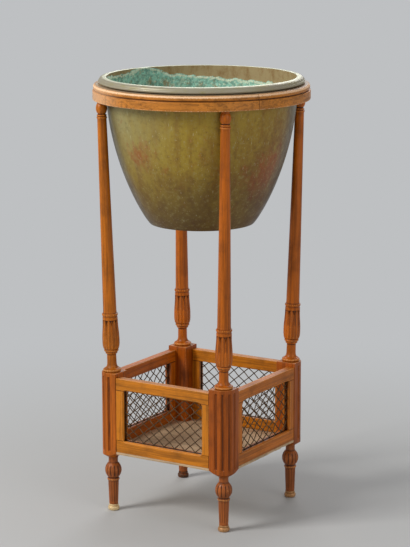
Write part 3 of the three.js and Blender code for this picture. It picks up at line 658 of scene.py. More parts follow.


def bowl_patina(settings):
    """Old copper: an olive patina in small clusters, sage on one side, umber towards the bottom and
    copper where it has been rubbed, with fine upright streaks, scratches and pale specks, painted
    shade down the two sides that the camera sees at a grazing angle and a painted highlight along the
    rim's top edge. The grain attribute gives the shares of the pale rim, of the brown inner wall and
    of the verdigris crust, which is above 1 along its upper edge, where pale specks lie on it."""
    recipe = Recipe("bowl_patina")
    place = recipe.place()
    height = recipe.parts(place)["Z"]
    rim_share, wall_share, crust_share = recipe.parts(recipe.grain())
    brown, sage, umber, lime = settings.brown, settings.sage, settings.umber, settings.lime
    clouds = recipe.noise(place, 9, 5, 0.6, 0.4)
    clusters = recipe.noise(place, 120, 4, 0.62)
    broken = recipe.noise(place, 55, 6, 0.72, along=0.6)
    upright = recipe.noise(place, 60, 4, 0.6, along=0.1)
    fine = recipe.noise(place, 260, 4, 0.65, along=0.25)
    shade = recipe.over(settings.olive, brown, upright, 0.38, 0.7, 0, 0.5)
    left, right = recipe.near((-0.1, -0.17, 0.88), 0.2, 0.17), recipe.near((0.19, 0.02, 0.74), 0.22, 0.2)
    shade = recipe.over(shade, sage, recipe.product(left, recipe.span(broken, 0.3, 0.6, 0.6, 1)))
    shade = recipe.over(shade, brown, recipe.product(right, recipe.span(broken, 0.3, 0.6, 0.4, 1)))
    for spot, reach in RUBBED:
        rubbed = recipe.sum(recipe.near(spot, reach, reach), recipe.span(broken, 0.25, 0.75, -0.8, 0.2))
        shade = recipe.over(shade, settings.copper, rubbed, -0.1, 0.9, 0, 0.7)
    # Painted shade down the two sides that the camera sees at a grazing angle
    flat = recipe.stretched(place, (1, 1, 0))
    outward = recipe.add("ShaderNodeVectorMath", {0: flat}, operation="NORMALIZE")
    side = {0: outward, 1: (math.cos(EDGE_SHADE_SIDE), math.sin(EDGE_SHADE_SIDE), 0)}
    aside = recipe.add("ShaderNodeVectorMath", side, output="Value", operation="DOT_PRODUCT")
    aside = recipe.add("ShaderNodeMath", {0: aside}, operation="ABSOLUTE")
    shade = recipe.over(shade, settings.slate, aside, 0.84, 0.98, 0, 0.75)
    low = recipe.sum(height, recipe.span(clouds, 0.2, 0.8, -0.035, 0.035))
    shade = recipe.over(shade, umber, low, 0.8, 0.6, 0, 0.8)
    shade = recipe.over(shade, umber, clusters, 0.48, 0.75, 0, 0.35)
    shade = recipe.over(shade, sage, clusters, 0.48, 0.28, 0, 0.4)
    shade = recipe.over(shade, lime, recipe.noise(place, 420, 2, 0.5, along=0.04), 0.66, 0.74, 0, 0.25)
    shade = recipe.over(shade, lime, recipe.noise(place, 340, 3, 0.6), 0.68, 0.74, 0, 0.4)
    pale = recipe.over(settings.rim, sage, recipe.noise(place, 40, 3, 0.6, along=3), 0.45, 0.75, 0, 0.7)
    # Painted highlight: a pale line just below the rim's top edge
    pale = recipe.over(pale, lime, height, BOWL_HIGH.z - 1.8 * MM, BOWL_HIGH.z - 0.6 * MM, 0, 0.8)
    shade = recipe.over(shade, pale, rim_share)
    inner = recipe.over(settings.inside, brown, broken, 0.45, 0.7, 0, 0.6)
    shade = recipe.over(shade, inner, wall_share)
    crust = recipe.span(crust_share, 0.1, 0.6)
    grit = recipe.noise(place, 130, 5, 0.7)
    deep_green = darker(settings.verdigris, 0.5)
    green = recipe.over(settings.verdigris, deep_green, grit, 0.4, 0.62)
    green = recipe.over(green, inner, recipe.noise(place, 46, 5, 0.7), 0.52, 0.64, 0, 0.8)
    flecks = recipe.sum(recipe.noise(place, 190, 4, 0.75), recipe.span(crust_share, 1, 2.6, 0, 0.16))
    green = recipe.over(green, lime, flecks, 0.52, 0.66, 0, 0.85)
    bumps = recipe.bumps(recipe.sum(fine, clusters), 0.12 * MM, 0.5)
    dull = recipe.larger(wall_share, crust_share)
    return recipe.finish(
        Base_Color=recipe.over(shade, green, crust),
        Metallic=recipe.span(dull, 0, 1, 0.22, 0),
        Roughness=recipe.sum(recipe.span(broken, 0.3, 0.7, 0.34, 0.5), recipe.product(dull, 0.3)),
        Normal=recipe.bumps(recipe.product(grit, crust), 1.4 * MM, 1.0, Normal=bumps),
        Specular_IOR_Level=0.4,
    )


def plain_metal(name, tone, second, roughness, metallic, scale=300):
    """Metal with mottled tarnish in what lies deep."""
    recipe = Recipe(name)
    tarnish = recipe.noise(recipe.place(), scale, 4, 0.65)
    shade = recipe.over(tone, second, tarnish, 0.4, 0.7, 0, 0.7)
    return recipe.finish(
        Base_Color=recipe.over(shade, second, recipe.relief(), -0.15, -0.9, 0, 0.8),
        Metallic=metallic,
        Roughness=recipe.span(tarnish, 0.3, 0.7, roughness, roughness + 0.2),
        Normal=recipe.bumps(tarnish, 0.08 * MM, 0.5),
    )


# ----------------------------------------------------------------------------------------- columns


def leaf(phi, t, shoulder, tip):
    """How high a leaf stands at phi, from -1/2 to 1/2 of its share of the turn, and at t of the
    sleeve's height. It keeps its width up to its shoulder and narrows from there as an ellipse does
    to its tip. It is crowned by a low power of 1 less (phi / half width) squared, and its ribs are
    the square of a cosine."""
    narrowing = np.clip((t - shoulder) / (tip - shoulder), 0, 1)
    half = 0.5 * np.sqrt(1 - narrowing**2) + 1e-4
    crown = np.clip(1 - (phi / half) ** 2, 0, 1) ** 0.4
    rib = np.cos(np.pi * phi / half) ** 2
    return crown * (0.55 + 0.45 * rib)


def leaf_carving(settings, foot, top, band):
    """The carving of a column: two rows of leaves on its sleeve, the lower row with its tips at half
    of the height and the upper row behind it, half a leaf further round, and beads round the upper
    ring of the band. A bead is the root of a sine between two nicks."""

    def carving(height, turn):
        t = (height - foot) / (top - foot)
        on = smooth(t, 0.0, 0.04) * smooth(t, 1.0, 0.985)
        phi = (turn * settings.leaves / (2 * np.pi) + 0.5) % 1 - 0.5
        behind = (phi + 1) % 1 - 0.5
        upper = 0.9 * leaf(behind, t, shoulder=0.76, tip=0.99)
        lower = leaf(phi, t, shoulder=0.2, tip=0.5)
        level = np.maximum(upper, lower) - 0.85
        nick = 1 - np.sqrt(np.abs(np.sin(settings.beads * turn / 2)))
        ring = smooth(height, band - 0.3 * MM, band + 0.9 * MM)
        nick = nick * ring * smooth(height, band + 4.5 * MM, band + 3.3 * MM)
        cut = settings.leaf_depth * level * on - 1.1 * MM * nick
        # The grooves between the leaves and between the beads get painted shade through this relief
        return cut, np.clip(2.3 * (level + 0.24), -0.75, 0.3) * on - 0.7 * nick

    return carving


def column_surface(settings):
    """A column in its corner's own frame: turned about its leaning axis, and pared level at its seats
    on the post and under the ring."""
    rise = RING_BOTTOM - POST_TOP
    lean = math.atan((RING_RADIUS - settings.inset - POST_AXIS_RADIUS) / rise)
    head = rise / math.cos(lean)
    sleeve_foot, sleeve_top = 49 * MM, 112 * MM
    waist, fillet = settings.waist_radius, settings.fillet_radius
    belly, top = settings.sleeve_radius, settings.sleeve_top_radius
    band, base = settings.band_radius, settings.base_radius
    shaft_foot, shaft_head = settings.shaft_foot_radius, settings.shaft_head_radius
    collar = settings.collar_radius
    foot = profile(
        (base - 1.4 * MM, -3 * MM),
        [
            ("line", base - 1.4 * MM, 0.2 * MM),
            ("line", base - 2.2 * MM, 0.9 * MM),
            ("bead", base - 2.2 * MM, 6.6 * MM, 2.2 * MM),
            ("line", base - 3.4 * MM, 7.0 * MM),
            ("line", base - 3.4 * MM, 8.0 * MM),
            ("cove", waist + 0.2 * MM, 19 * MM),
            ("line", waist, 37.5 * MM),
            ("line", fillet - 2.6 * MM, 40 * MM),
            ("line", fillet - 2.6 * MM, 43.4 * MM),
            ("line", fillet - 0.9 * MM, 44 * MM),
            ("bead", fillet - 0.9 * MM, 48.2 * MM, 0.9 * MM),
            ("line", belly - 3.4 * MM, sleeve_foot),
            ("cove", belly, 64 * MM),
            ("line", belly, 70 * MM),
            ("ogee", top, sleeve_top - 3 * MM),
            ("line", top, sleeve_top),
            ("line", band - 1.1 * MM, sleeve_top + 0.6 * MM),
            ("line", band - 1.1 * MM, sleeve_top + 4.6 * MM),
            ("line", band - 1.7 * MM, sleeve_top + 5 * MM),
            ("line", band - 1.7 * MM, sleeve_top + 8 * MM),
            ("bead", band - 1 * MM, sleeve_top + 13 * MM, 1 * MM),
            ("line", shaft_foot + 0.4 * MM, sleeve_top + 13.4 * MM),
        ],
        0.9 * MM,
    )
    shaft = profile(
        (shaft_foot + 0.3 * MM, sleeve_top + 13.8 * MM),
        [("round", shaft_foot, sleeve_top + 18 * MM), ("line", shaft_head, head - 37 * MM)],
        22 * MM,
    )
    capital = profile(
        (shaft_head + 0.1 * MM, head - 36.5 * MM),
        [
            ("line", shaft_head + 0.3 * MM, head - 35.6 * MM),
            ("bead", collar - 0.8 * MM, head - 32 * MM, 0.8 * MM),
            ("line", shaft_head - 0.5 * MM, head - 31.4 * MM),
            ("line", shaft_head - 0.5 * MM, head - 30.6 * MM),
            ("bead", shaft_head - 0.4 * MM, head - 27.6 * MM, 1 * MM),
            ("line", shaft_head - 1.5 * MM, head - 27 * MM),
            ("line", shaft_head - 1.5 * MM, head - 25.8 * MM),
            ("ball", shaft_head - 1.2 * MM, head - 4.2 * MM, settings.ball_radius),
            ("line", shaft_head - 1.2 * MM, head + 3 * MM),
        ],
        0.9 * MM,
    )
    carving = leaf_carving(settings, sleeve_foot, sleeve_top, sleeve_top + 9 * MM)
    column = turning(np.concatenate([foot, shaft, capital]), 22 * settings.leaves, carving)
    x, y, z = column.points.T
    along = x * math.cos(lean) + z * math.sin(lean) + POST_AXIS_RADIUS
    up = z * math.cos(lean) - x * math.sin(lean) + POST_TOP
    up = np.clip(up, POST_TOP + SEAT_GAP, RING_BOTTOM - SEAT_GAP)
    return column._replace(points=np.stack([along, y, up], axis=-1))


class JARDINIERE_OT_columns(bpy.types.Operator):
    """Turn the four leaning columns and carve their leaf sleeves"""

    bl_idname = "jardiniere.columns"
    bl_label = "Columns"

    def execute(self, context):
        column = column_surface(context.scene.jardiniere_column)
        for index, corner in enumerate(CORNERS):
            wood = waxed_wood(context, "amber" if corner == "left" else "russet")
            piece("column_" + corner, "turned", column, wood, corner, index + 1)
        return {"FINISHED"}


# ------------------------------------------------------------------------------------------- posts


def post_outline(settings):
    """The post's outline, with its rounded corner towards +x +y, as points with their outward
    normals and their distance along it from the middle of that corner. That distance s is an arc
    within a quarter turn and runs straight along the flanks past it. The two inner faces follow, with
    the arris between them worn."""
    half, radius, arris = POST_WIDTH / 2, settings.corner_radius, settings.arris
    centre, quarter = half - radius, radius * np.pi / 4
    end = quarter + centre + half - arris
    middles = (np.arange(settings.flutes) - (settings.flutes - 1) / 2) * settings.flute_spacing
    across = settings.flute_radius * 1.25 * np.sin(np.linspace(-np.pi / 2, np.pi / 2, 19))
    plain = np.linspace(-end, end, 41)
    s = np.unique(np.concatenate([plain, (middles[:, None] + across).ravel()]))
    on_arc = np.clip(s, -quarter, quarter)
    angle = np.pi / 4 + on_arc / radius
    normal = np.stack([np.cos(angle), np.sin(angle)], axis=-1)
    along = np.stack([-np.sin(angle), np.cos(angle)], axis=-1)
    point = centre + radius * normal + (s - on_arc)[:, None] * along
    inner, near = half - arris, half - 2.2 * MM
    faces = [(-inner, half), (-half, inner), (-half, near), (-half, -near), (-half, -inner)]
    faces += [(-inner, -half), (-near, -half), (near, -half), (inner, -half)]
    facing = [(0, 1)] + 4 * [(-1, 0)] + 4 * [(0, -1)]
    point = np.concatenate([point[:-1], faces])
    normal = np.concatenate([normal[:-1], facing])
    worn = np.zeros(len(point))
    worn[[-5, -4]] = 0.45
    s = np.concatenate([s[:-1], np.full(len(faces), end)])
    return point, normal, s, middles, worn


def post_surface(settings):
    """A post in its corner's own frame. A flute is where a round-ended rod of its radius, laid along
    the face, would cut: as deep as the root of its radius squared less the distance to the rod's
    middle line squared. The lower end is turned to a slope that swells by the sine of a half turn."""
    point, normal, s, middles, worn = post_outline(settings)
    height, arris, radius = POST_TOP - POST_FOOT, settings.arris, settings.flute_radius
    low = settings.flute_lower_end + radius
    high = height - settings.flute_upper_end - radius
    rod_end = radius * np.sin(np.linspace(-np.pi / 2, np.pi / 2, 13))
    turned_part = np.linspace(0, settings.shoulder_height, 16)
    top = height - arris * (1 - np.sin(np.linspace(0, np.pi / 2, 4)))
    middle = np.linspace(low + radius, high - radius, 9)
    z = np.unique(np.concatenate([turned_part, low + rod_end, middle, high + rod_end, top]))
    over = np.clip(low - z, 0, None) + np.clip(z - high, 0, None)
    aside = np.abs(s[:, None] - middles).min(1)
    reach = np.hypot(aside[None, :], over[:, None])
    depth = np.sqrt(np.clip(radius**2 - reach**2, 0, None)) * 0.85
    in_arris = np.clip(z - height + arris, 0, None)
    inset = arris - np.sqrt(np.clip(arris**2 - in_arris**2, 0, None))
    rows = np.zeros((len(z), len(s), 3))
    rows[..., :2] = point - normal * (depth + inset[:, None])[..., None]
    rows[..., 2] = z[:, None]
    t = z / settings.shoulder_height
    widest = settings.shoulder_radius + (POST_WIDTH * 0.708 - settings.shoulder_radius) * t
    widest += 0.8 * MM * np.sin(np.pi * np.clip(t, 0, 1))
    reached = np.hypot(rows[..., 0], rows[..., 1])
    turned = (z < settings.shoulder_height)[:, None] & (reached > widest[:, None])
    rows[..., :2] *= np.where(turned, widest[:, None] / reached, 1)[..., None]
    edge = bell(reach - radius, 0.5 * MM)
    # The flutes get painted shade through this relief, darkest at their floors
    relief = -0.66 * (depth / radius) ** 2 + 0.4 * edge + (inset > 0)[:, None] * 0.5 + worn
    relief -= 0.8 * smooth(z, 1.2 * MM, 0)[:, None]
    post = skin(rows, np.clip(relief, -1, 1))
    return post._replace(points=about_z(post.points, -math.pi / 4) + (POST_AXIS_RADIUS, 0, POST_FOOT))


class JARDINIERE_OT_posts(bpy.types.Operator):
    """Make the four fluted corner posts"""

    bl_idname = "jardiniere.posts"
    bl_label = "Posts"

    def execute(self, context):
        post = post_surface(context.scene.jardiniere_post)
        for index, corner in enumerate(CORNERS):
            wood = waxed_wood(context, "russet" if corner == "left" else "chestnut")
            piece("post_" + corner, "fluted", post, wood, corner, index + 11)
        return {"FINISHED"}


# ---------------------------------------------------------------------------------- feet, ferrules


def foot_carving(settings, leg_top, ball_foot, ball_top):
    """Flutes down the leg and gadroons round the ball. A flute cuts by the square of a cosine, and a
    gadroon's swelling is the root of the absolute sine between two creases."""

    def carving(height, turn):
        leg = smooth(height, FERRULE_TOP + 3 * MM, FERRULE_TOP + 8 * MM)
        leg = leg * smooth(height, leg_top - 0.6 * MM, leg_top - 4 * MM)
        flute = np.cos(settings.leg_flutes * turn / 2) ** 2
        ball = smooth(height, ball_foot + 2 * MM, ball_foot + 7 * MM)
        ball = ball * smooth(height, ball_top - 4 * MM, ball_top - 10 * MM)
        # Painted highlight on the gadroons a little above the ball's middle
        gadroon_highlight = ball * bell(height - ball_foot - 19 * MM, 4 * MM)
        crease = 1 - np.sqrt(np.abs(np.sin(settings.gadroons * turn / 2)))
        cut = -settings.leg_flute_depth * leg * flute - settings.gadroon_depth * ball * crease
        # Flutes and creases get grime and painted shade, and the gadroons the painted highlight
        standing = -leg * flute * 0.5 + leg * 0.1 - ball * (0.12 + crease) + gadroon_highlight * (1 - crease) * 0.45
        return cut, standing

    return carving


def foot_surface(settings):
    """A foot, from the ferrule up to the post, in its corner's own frame."""
    neck_top = POST_FOOT - settings.head_height
    ball_top = neck_top - settings.neck_height
    ball_foot = ball_top - settings.ball_height
    leg_top = ball_foot - settings.collar_height
    head, neck, collar = settings.head_radius, settings.neck_radius, settings.collar_radius
    outline = profile(
        (settings.leg_foot_radius - 0.6 * MM, FERRULE_TOP + SEAT_GAP),
        [
            ("line", settings.leg_foot_radius, FERRULE_TOP + 1 * MM),
            ("line", settings.leg_head_radius, leg_top - 0.8 * MM),
            ("line", collar - 1.8 * MM, leg_top),
            ("bead", collar - 1.2 * MM, leg_top + 4 * MM, 0.9 * MM),
            ("line", neck + 1.8 * MM, leg_top + 4.5 * MM),
            ("line", neck + 1.4 * MM, ball_foot + 1 * MM),
            ("ball", neck + 1.2 * MM, ball_top - 3.4 * MM, settings.ball_radius),
            ("cove", neck, ball_top + 0.8 * MM),
            ("line", neck, neck_top),
            ("round", head, POST_FOOT - 1 * MM),
            ("line", head, POST_FOOT - SEAT_GAP),
        ],
        1.0 * MM,
    )
    foot = turning(outline, 168, foot_carving(settings, leg_top, ball_foot, ball_top))
    return foot._replace(points=foot.points + (POST_AXIS_RADIUS, 0, 0))


def ferrule_surface(radius):
    """A ferrule in its corner's own frame: a flat sole, a bun-shaped side and a mouth with a ring."""
    outline = profile(
        (radius - 3.2 * MM, 0),
        [
            ("cove", radius - 1.8 * MM, 0.9 * MM),
            ("bead", radius - 2.2 * MM, 9.2 * MM, 2.0 * MM),
            ("line", radius - 2.9 * MM, 9.8 * MM),
            ("bead", radius - 2.6 * MM, FERRULE_TOP, 0.8 * MM),
        ],
        0.8 * MM,
    )
    ferrule = turning(outline, 64)
    return ferrule._replace(points=ferrule.points + (POST_AXIS_RADIUS, 0, 0))


class JARDINIERE_OT_feet(bpy.types.Operator):
    """Turn the four feet and make their ferrules"""

    bl_idname = "jardiniere.feet"
    bl_label = "Feet and Ferrules"

    def execute(self, context):
        settings, metal = context.scene.jardiniere_foot, context.scene.jardiniere_metal
        foot, ferrule = foot_surface(settings), ferrule_surface(settings.ferrule_radius)
        wood = waxed_wood(context, "umber")
        gilt = plain_metal("ferrule_gilt", metal.gilt, metal.bronze, 0.38, 0.3)
        bronze = plain_metal("ferrule_bronze", metal.bronze, metal.brown, 0.4, 0.4)
        # The back ferrule: a darker copy of the brass, painted shade for the shadow it stands in, with
        # some tarnish
        brown = plain_metal("ferrule_tarnished", metal.umber, metal.copper, 0.5, 0.5)
        finishes = {"left": gilt, "front": bronze, "right": bronze, "back": brown}
        for index, corner in enumerate(CORNERS):
            piece("foot_" + corner, "turned", foot, wood, corner, index + 21)
            piece("ferrule_" + corner, "cast", ferrule, finishes[corner], corner)
        return {"FINISHED"}


# ---------------------------------------------------------------------------------- rails, stiles


def to_opening(x, z, radius):
    """How far a point of a side lies outside the opening's outline, whose corners are round: the
    length of what it is past the corner's centre both ways, less the radius."""
    across = np.abs(x) - OPENING_HALF + radius
    up = np.abs(z - (OPENING_TOP + OPENING_BOTTOM) / 2) - (OPENING_TOP - OPENING_BOTTOM) / 2 + radius
    outside = np.hypot(np.clip(across, 0, None), np.clip(up, 0, None))
    return outside + np.minimum(np.maximum(across, up), 0) - radius


def bar_section(settings, width, depth):
    """The section of a rail or a stile, as steps from the edge at the opening and places behind the
    middle plane: the front, the far edge, the back and the edge with its groove."""
    arris, groove, groove_depth = settings.arris, settings.groove_width / 2, settings.groove_depth
    near = 2.2 * MM
    front = np.concatenate([np.linspace(0, 4, 9) * MM, np.linspace(5.5 * MM, width - 2 * near, 6)])
    round_to = arris * (1 - np.cos(np.linspace(0, np.pi / 2, 4)))
    round_from = arris - round_to[::-1]
    section = [(step, -depth) for step in (*front, width - near)]
    section += [(width - a, b - depth) for a, b in zip(round_from[::-1], round_to)]
    section += [(width, near - depth), (width, depth - near)]
    section += [(width - a, depth - b) for a, b in zip(round_to, round_from[::-1])]
    section += [(width - near, depth), (near, depth), (arris, depth), (0, depth - arris)]
    section += [(0, depth - near), (0, groove), (groove_depth, groove), (groove_depth, -groove)]
    return np.array([*section, (0, -groove)]).T


def bar_surface(settings, inner, outer, ends, upright):
    """A rail or a stile in its side's own frame: its section carried along the bar, which is x on a
    rail and z on a stile, from the edge at inner, towards the opening. The front is then cut back by
    the chamfer's depth less the distance to the opening's outline, and the ends are rounded."""
    arris, groove = settings.arris, settings.groove_width / 2
    depth = (RAIL_HIGH.y - RAIL_LOW.y) / 2
    inwards, deep = bar_section(settings, abs(outer - inner), depth)
    low, high = ends
    fine = np.linspace(-10, 10, 21) * MM
    dense_at = (low, high) if upright else (low, high, -OPENING_HALF, OPENING_HALF)
    along = [fine + place for place in dense_at] + [np.linspace(low, high, 9), [low + arris, high - arris]]
    along = np.concatenate(along)
    along = np.unique(np.round(along[(along >= low) & (along <= high)], 6))
    a, s = np.meshgrid(along, inner + np.sign(outer - inner) * inwards, indexing="ij")
    d = np.broadcast_to(deep, a.shape)
    x, z = (s, a) if upright else (a, s)
    distance = to_opening(x, z, settings.chamfer_corner)
    front = d < -depth + arris * 0.5
    to_end = np.minimum(a - low, high - a)
    end = np.clip(1 - to_end / arris, 0, 1)
    d = (d + front * np.clip(settings.chamfer - distance, 0, settings.chamfer)) * (1 - end * arris / depth)
    middle = (inner + outer) / 2
    s = middle + (s - middle) * (1 - end * arris / abs(outer - middle))
    x, z = (s, a) if upright else (a, s)
    # Wear and a painted highlight along the chamfer's outer edge round the opening
    relief = 0.75 * bell(distance - settings.chamfer, 0.7 * MM) * front
    relief += 0.9 * bell(np.hypot(s - outer, np.abs(d) - depth), 0.9 * MM)
    if not upright:
        relief += 0.3 * (np.abs(s - outer) < 0.1 * MM)
    relief -= 1.3 * np.clip(1 - to_end / (1.2 * MM), 0, 1)
    relief -= 0.8 * (np.abs(s - inner) < 0.1 * MM) * (np.abs(d) < groove + 0.1 * MM)
    rows = np.stack([x, d + RAIL_PLANE, z], axis=-1)
    return skin(rows, np.clip(relief, -1, 1), np.stack([s, d, a], axis=-1))


class JARDINIERE_OT_frames(bpy.types.Operator):
    """Make the rails and stiles round the four openings"""

    bl_idname = "jardiniere.frames"
    bl_label = "Rails and Stiles"

    def execute(self, context):
        settings = context.scene.jardiniere_frame
        rail_ends = (SEAT_GAP - BAY_HALF, BAY_HALF - SEAT_GAP)
        stile_ends = (OPENING_BOTTOM + SEAT_GAP, OPENING_TOP - SEAT_GAP)
        bars = {
            "top_rail_{}": bar_surface(settings, OPENING_TOP, RAIL_HIGH.z, rail_ends, False),
            "bottom_rail_{}": bar_surface(settings, OPENING_BOTTOM, RAIL_FOOT, rail_ends, False),
            "stile_{}_a": bar_surface(settings, -OPENING_HALF, rail_ends[0], stile_ends, True),
            "stile_{}_b": bar_surface(settings, OPENING_HALF, rail_ends[1], stile_ends, True),
        }
        plank = 31
        for side, tone in zip(SIDES, ("honey", "amber", "honey", "russet")):
            wood = waxed_wood(context, tone)
            for pattern, bar in bars.items():
                piece(pattern.format(side), "moulded", bar, wood, side, plank)
                plank += 1
        return {"FINISHED"}


# ----------------------------------------------------------------------------------------- grilles


def grille_surface(settings):
    """Two sets of slanting wires, woven over and under one another. A wire is z = slope x + offset,
    upwards in one set and downwards in the other, with its offset an odd number of half diamonds. It
    leaves the middle plane by the wire's radius times the cosine of pi times the count of wires
    crossed, with the sign of its set, so that the wires touch where they cross."""
    slope = settings.diamond_height / settings.diamond_width
    half_width, half_height = (GRILLE_HIGH.x - GRILLE_LOW.x) / 2, (GRILLE_HIGH.z - GRILLE_LOW.z) / 2
    centre = Vector((0, (GRILLE_LOW.y + GRILLE_HIGH.y) / 2, (GRILLE_LOW.z + GRILLE_HIGH.z) / 2))
    radius = settings.wire / 2
    reach = math.ceil((half_height + slope * half_width) / settings.diamond_height)
    around = circle(8)[:, None]
    wires = []
    for rising in (1, -1):
        tangent = np.array([1, 0, rising * slope]) / math.hypot(1, slope)
        aside = np.array([-tangent[2], 0, tangent[0]])
        section = radius * (np.cos(around) * (0, 1, 0) + np.sin(around) * aside)
        for wire in range(-reach, reach + 1):
            offset = (wire + 0.5) * settings.diamond_height
            first = max(-half_width, (-half_height - rising * offset) / slope)
            last = min(half_width, (half_height - rising * offset) / slope)
            if last - first < 6 * radius:
                continue
            x = np.linspace(first, last, max(4, int((last - first) / (3.2 * MM))))
            x = x[np.abs(rising * slope * x + offset) <= half_height + 1e-6]
            if len(x) < 3:
                continue
            crossed = (2 * slope * x * rising + offset) / settings.diamond_height - 0.5
            y = rising * radius * np.cos(np.pi * (crossed + wire))
            line = np.stack([x, y, rising * slope * x + offset], axis=-1) + centre
            wires.append(skin(line[:, None, :] + section))
    return joined(wires)


class JARDINIERE_OT_grilles(bpy.types.Operator):
    """Weave the four grilles"""

    bl_idname = "jardiniere.grilles"
    bl_label = "Grilles"

    def execute(self, context):
        metal = context.scene.jardiniere_metal
        grille = grille_surface(context.scene.jardiniere_frame)
        iron = plain_metal("grille_wire", metal.wire, metal.iron, 0.4, 0.6, 420)
        for side in SIDES:
            piece("grille_" + side, "woven", grille, iron, side, sharp=60)
        return {"FINISHED"}


# ------------------------------------------------------------------------------------ bottom board


def board_surface(settings):
    """The bottom board: a square with a notch at each corner, walked round in small steps, in layers
    from its underside up. Each layer's outer edges are drawn in by noise, most at the underside."""
    edge, notch = BOARD_HIGH.x, BAY_HALF - SEAT_GAP
    along = np.linspace(-notch, notch, 160)
    run = np.stack([np.full_like(along, edge), along, 0 * along], axis=-1)
    run = np.concatenate([run, [(notch, notch, 0)]])
    outline = np.concatenate([about_z(run, TURNS[side]) for side in SIDES])
    outward = np.where(np.abs(outline) > notch + 1e-6, np.sign(outline), 0)
    layers = np.array([0, 0.09, 0.3, 0.6, 0.93, 1.0])[:, None]
    wear = np.array([1.0, 0.75, 0.35, 0.15, 0.1, 0.4])[:, None]
    rows = np.repeat(outline[None], len(layers), axis=0)
    rows[..., 2] = BOARD_LOW.z + (BOARD_HIGH.z - BOARD_LOW.z) * layers
    rough = np.abs(mottle(rows, 5 * MM, 7)) * 0.5 + np.clip(mottle(rows, 17 * MM, 8), 0, 1) * 0.8
    rows = rows - outward * (rough * wear * settings.chip)[..., None]
    return skin(rows, 0.0, rows[..., [1, 2, 0]])


def nails_surface(settings):
    """Round nail heads under the board, each a low dome: its radius by the cosine of a quarter turn
    and its height by the sine."""
    quarter = np.linspace(0, np.pi / 2 * 0.92, 5)
    dome = [settings.nail_radius * np.cos(quarter), -settings.nail_height * np.sin(quarter)]
    outline = np.stack(dome, axis=-1)
    head = turning(np.concatenate([[outline[0] + (0, 0.3 * MM)], outline]), 12)
    inset = BOARD_HIGH.x - settings.nail_inset - settings.nail_radius
    heads = []
    for side in SIDES:
        for along in np.linspace(-0.86, 0.86, settings.nails) * BAY_HALF:
            place = about_z(np.array([inset, along, BOARD_LOW.z]), TURNS[side])
            heads.append(head._replace(points=head.points + place))
    return joined(heads)


class JARDINIERE_OT_board(bpy.types.Operator):
    """Make the bottom board and its nails"""

    bl_idname = "jardiniere.board"
    bl_label = "Bottom Board"

    def execute(self, context):
        settings, metal = context.scene.jardiniere_board, context.scene.jardiniere_metal
        board = bare_board(context.scene.jardiniere_wood)
        piece("bottom_board", "bare", board_surface(settings), board, plank=51)
        iron = plain_metal("nail_iron", metal.iron, metal.umber, 0.5, 0.7)
        piece(None, "board_nails", nails_surface(settings), iron)
        return {"FINISHED"}


# -------------------------------------------------------------------------------------------- ring


def ring_section(settings):
    """The ring's section as radius and height, from the bore's lower edge outwards: fascia, groove,
    bead, flat top and bore."""
    bore = RING_RADIUS - settings.width
    fascia = RING_BOTTOM + settings.fascia_height
    groove = RING_RADIUS - settings.groove_setback
    bead = RING_RADIUS - settings.bead_setback
    return profile(
        (bore, RING_BOTTOM),
        [
            ("line", RING_RADIUS - 1.2 * MM, RING_BOTTOM),
            ("cove", RING_RADIUS, RING_BOTTOM + 1.2 * MM),
            ("line", RING_RADIUS, fascia - 1.4 * MM),
            ("round", RING_RADIUS - 1.6 * MM, fascia),
            ("line", groove, fascia + 0.8 * MM),
            ("line", groove, fascia + 2 * MM),
            ("bead", bead - 2.4 * MM, RING_TOP - 0.7 * MM, 2.6 * MM),
            ("line", RING_RADIUS - settings.top_setback, RING_TOP),
            ("line", bore + 1 * MM, RING_TOP),
            ("line", bore, RING_TOP - 1 * MM),
        ],
        1.5 * MM,
    )


def ring_segment_surface(settings):
    """A quarter of the ring in its corner's own frame: the section carried round an arc between two
    joints, and drawn in a little at each, so that the joint shows as a line. It is sawn from a
    straight plank, so its grain runs along the chord."""
    section = ring_section(settings)
    gap = SEAT_GAP / 2 / RING_RADIUS
    crease = 0.5 * MM
    arc = np.linspace(settings.seam - math.pi / 2 + gap, settings.seam - gap, 73)
    turn = np.unique(np.concatenate([arc, arc[[0, -1]] + np.array([1, -1]) * crease / RING_RADIUS]))
    drawn = np.ones((len(turn), 1))
    drawn[[0, -1]] = 1 - crease / (12 * MM)
    middle = section.mean(0)
    radius, height = (middle[axis] + (section[:, axis] - middle[axis]) * drawn for axis in (0, 1))
    rows = np.stack([radius * np.cos(turn)[:, None], radius * np.sin(turn)[:, None], height], axis=-1)
    groove = (RING_RADIUS - settings.groove_setback, RING_BOTTOM + settings.fascia_height + 1.4 * MM)
    relief = -1.1 * (drawn < 1)
    # Relief: painted highlight and wear on the bead, grime and painted shade in the groove, wear below
    for amount, place, reach in (
        (1.1, (RING_RADIUS - 2.6 * MM, RING_TOP - 2.8 * MM), 2.6 * MM),
        (-0.9, groove, 1.5 * MM),
        (0.5, (RING_RADIUS, RING_BOTTOM + 1 * MM), 1.2 * MM),
    ):
        relief = relief + amount * bell(np.hypot(*(section - place).T), reach)
    chord = about_z(rows, math.pi / 4 - settings.seam)
    return skin(rows, np.clip(relief, -1, 1), chord[..., [0, 2, 1]])


class JARDINIERE_OT_ring(bpy.types.Operator):
    """Glue up the ring from its four segments and their tongues"""

    bl_idname = "jardiniere.ring"
    bl_label = "Ring"

    def execute(self, context):
        wood = context.scene.jardiniere_wood
        worn, bare = ring_wood(wood), tongue_wood(wood)
        segment = ring_segment_surface(context.scene.jardiniere_ring)
        for index, corner in enumerate(CORNERS):
            piece("ring_segment_" + corner, "moulded", segment, worn, corner, index + 61)
            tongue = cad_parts["ring_tongue_" + corner]
            tongue.data.materials.clear()
            tongue.data.materials.append(bare)
        return {"FINISHED"}


# -------------------------------------------------------------------------------------------- bowl


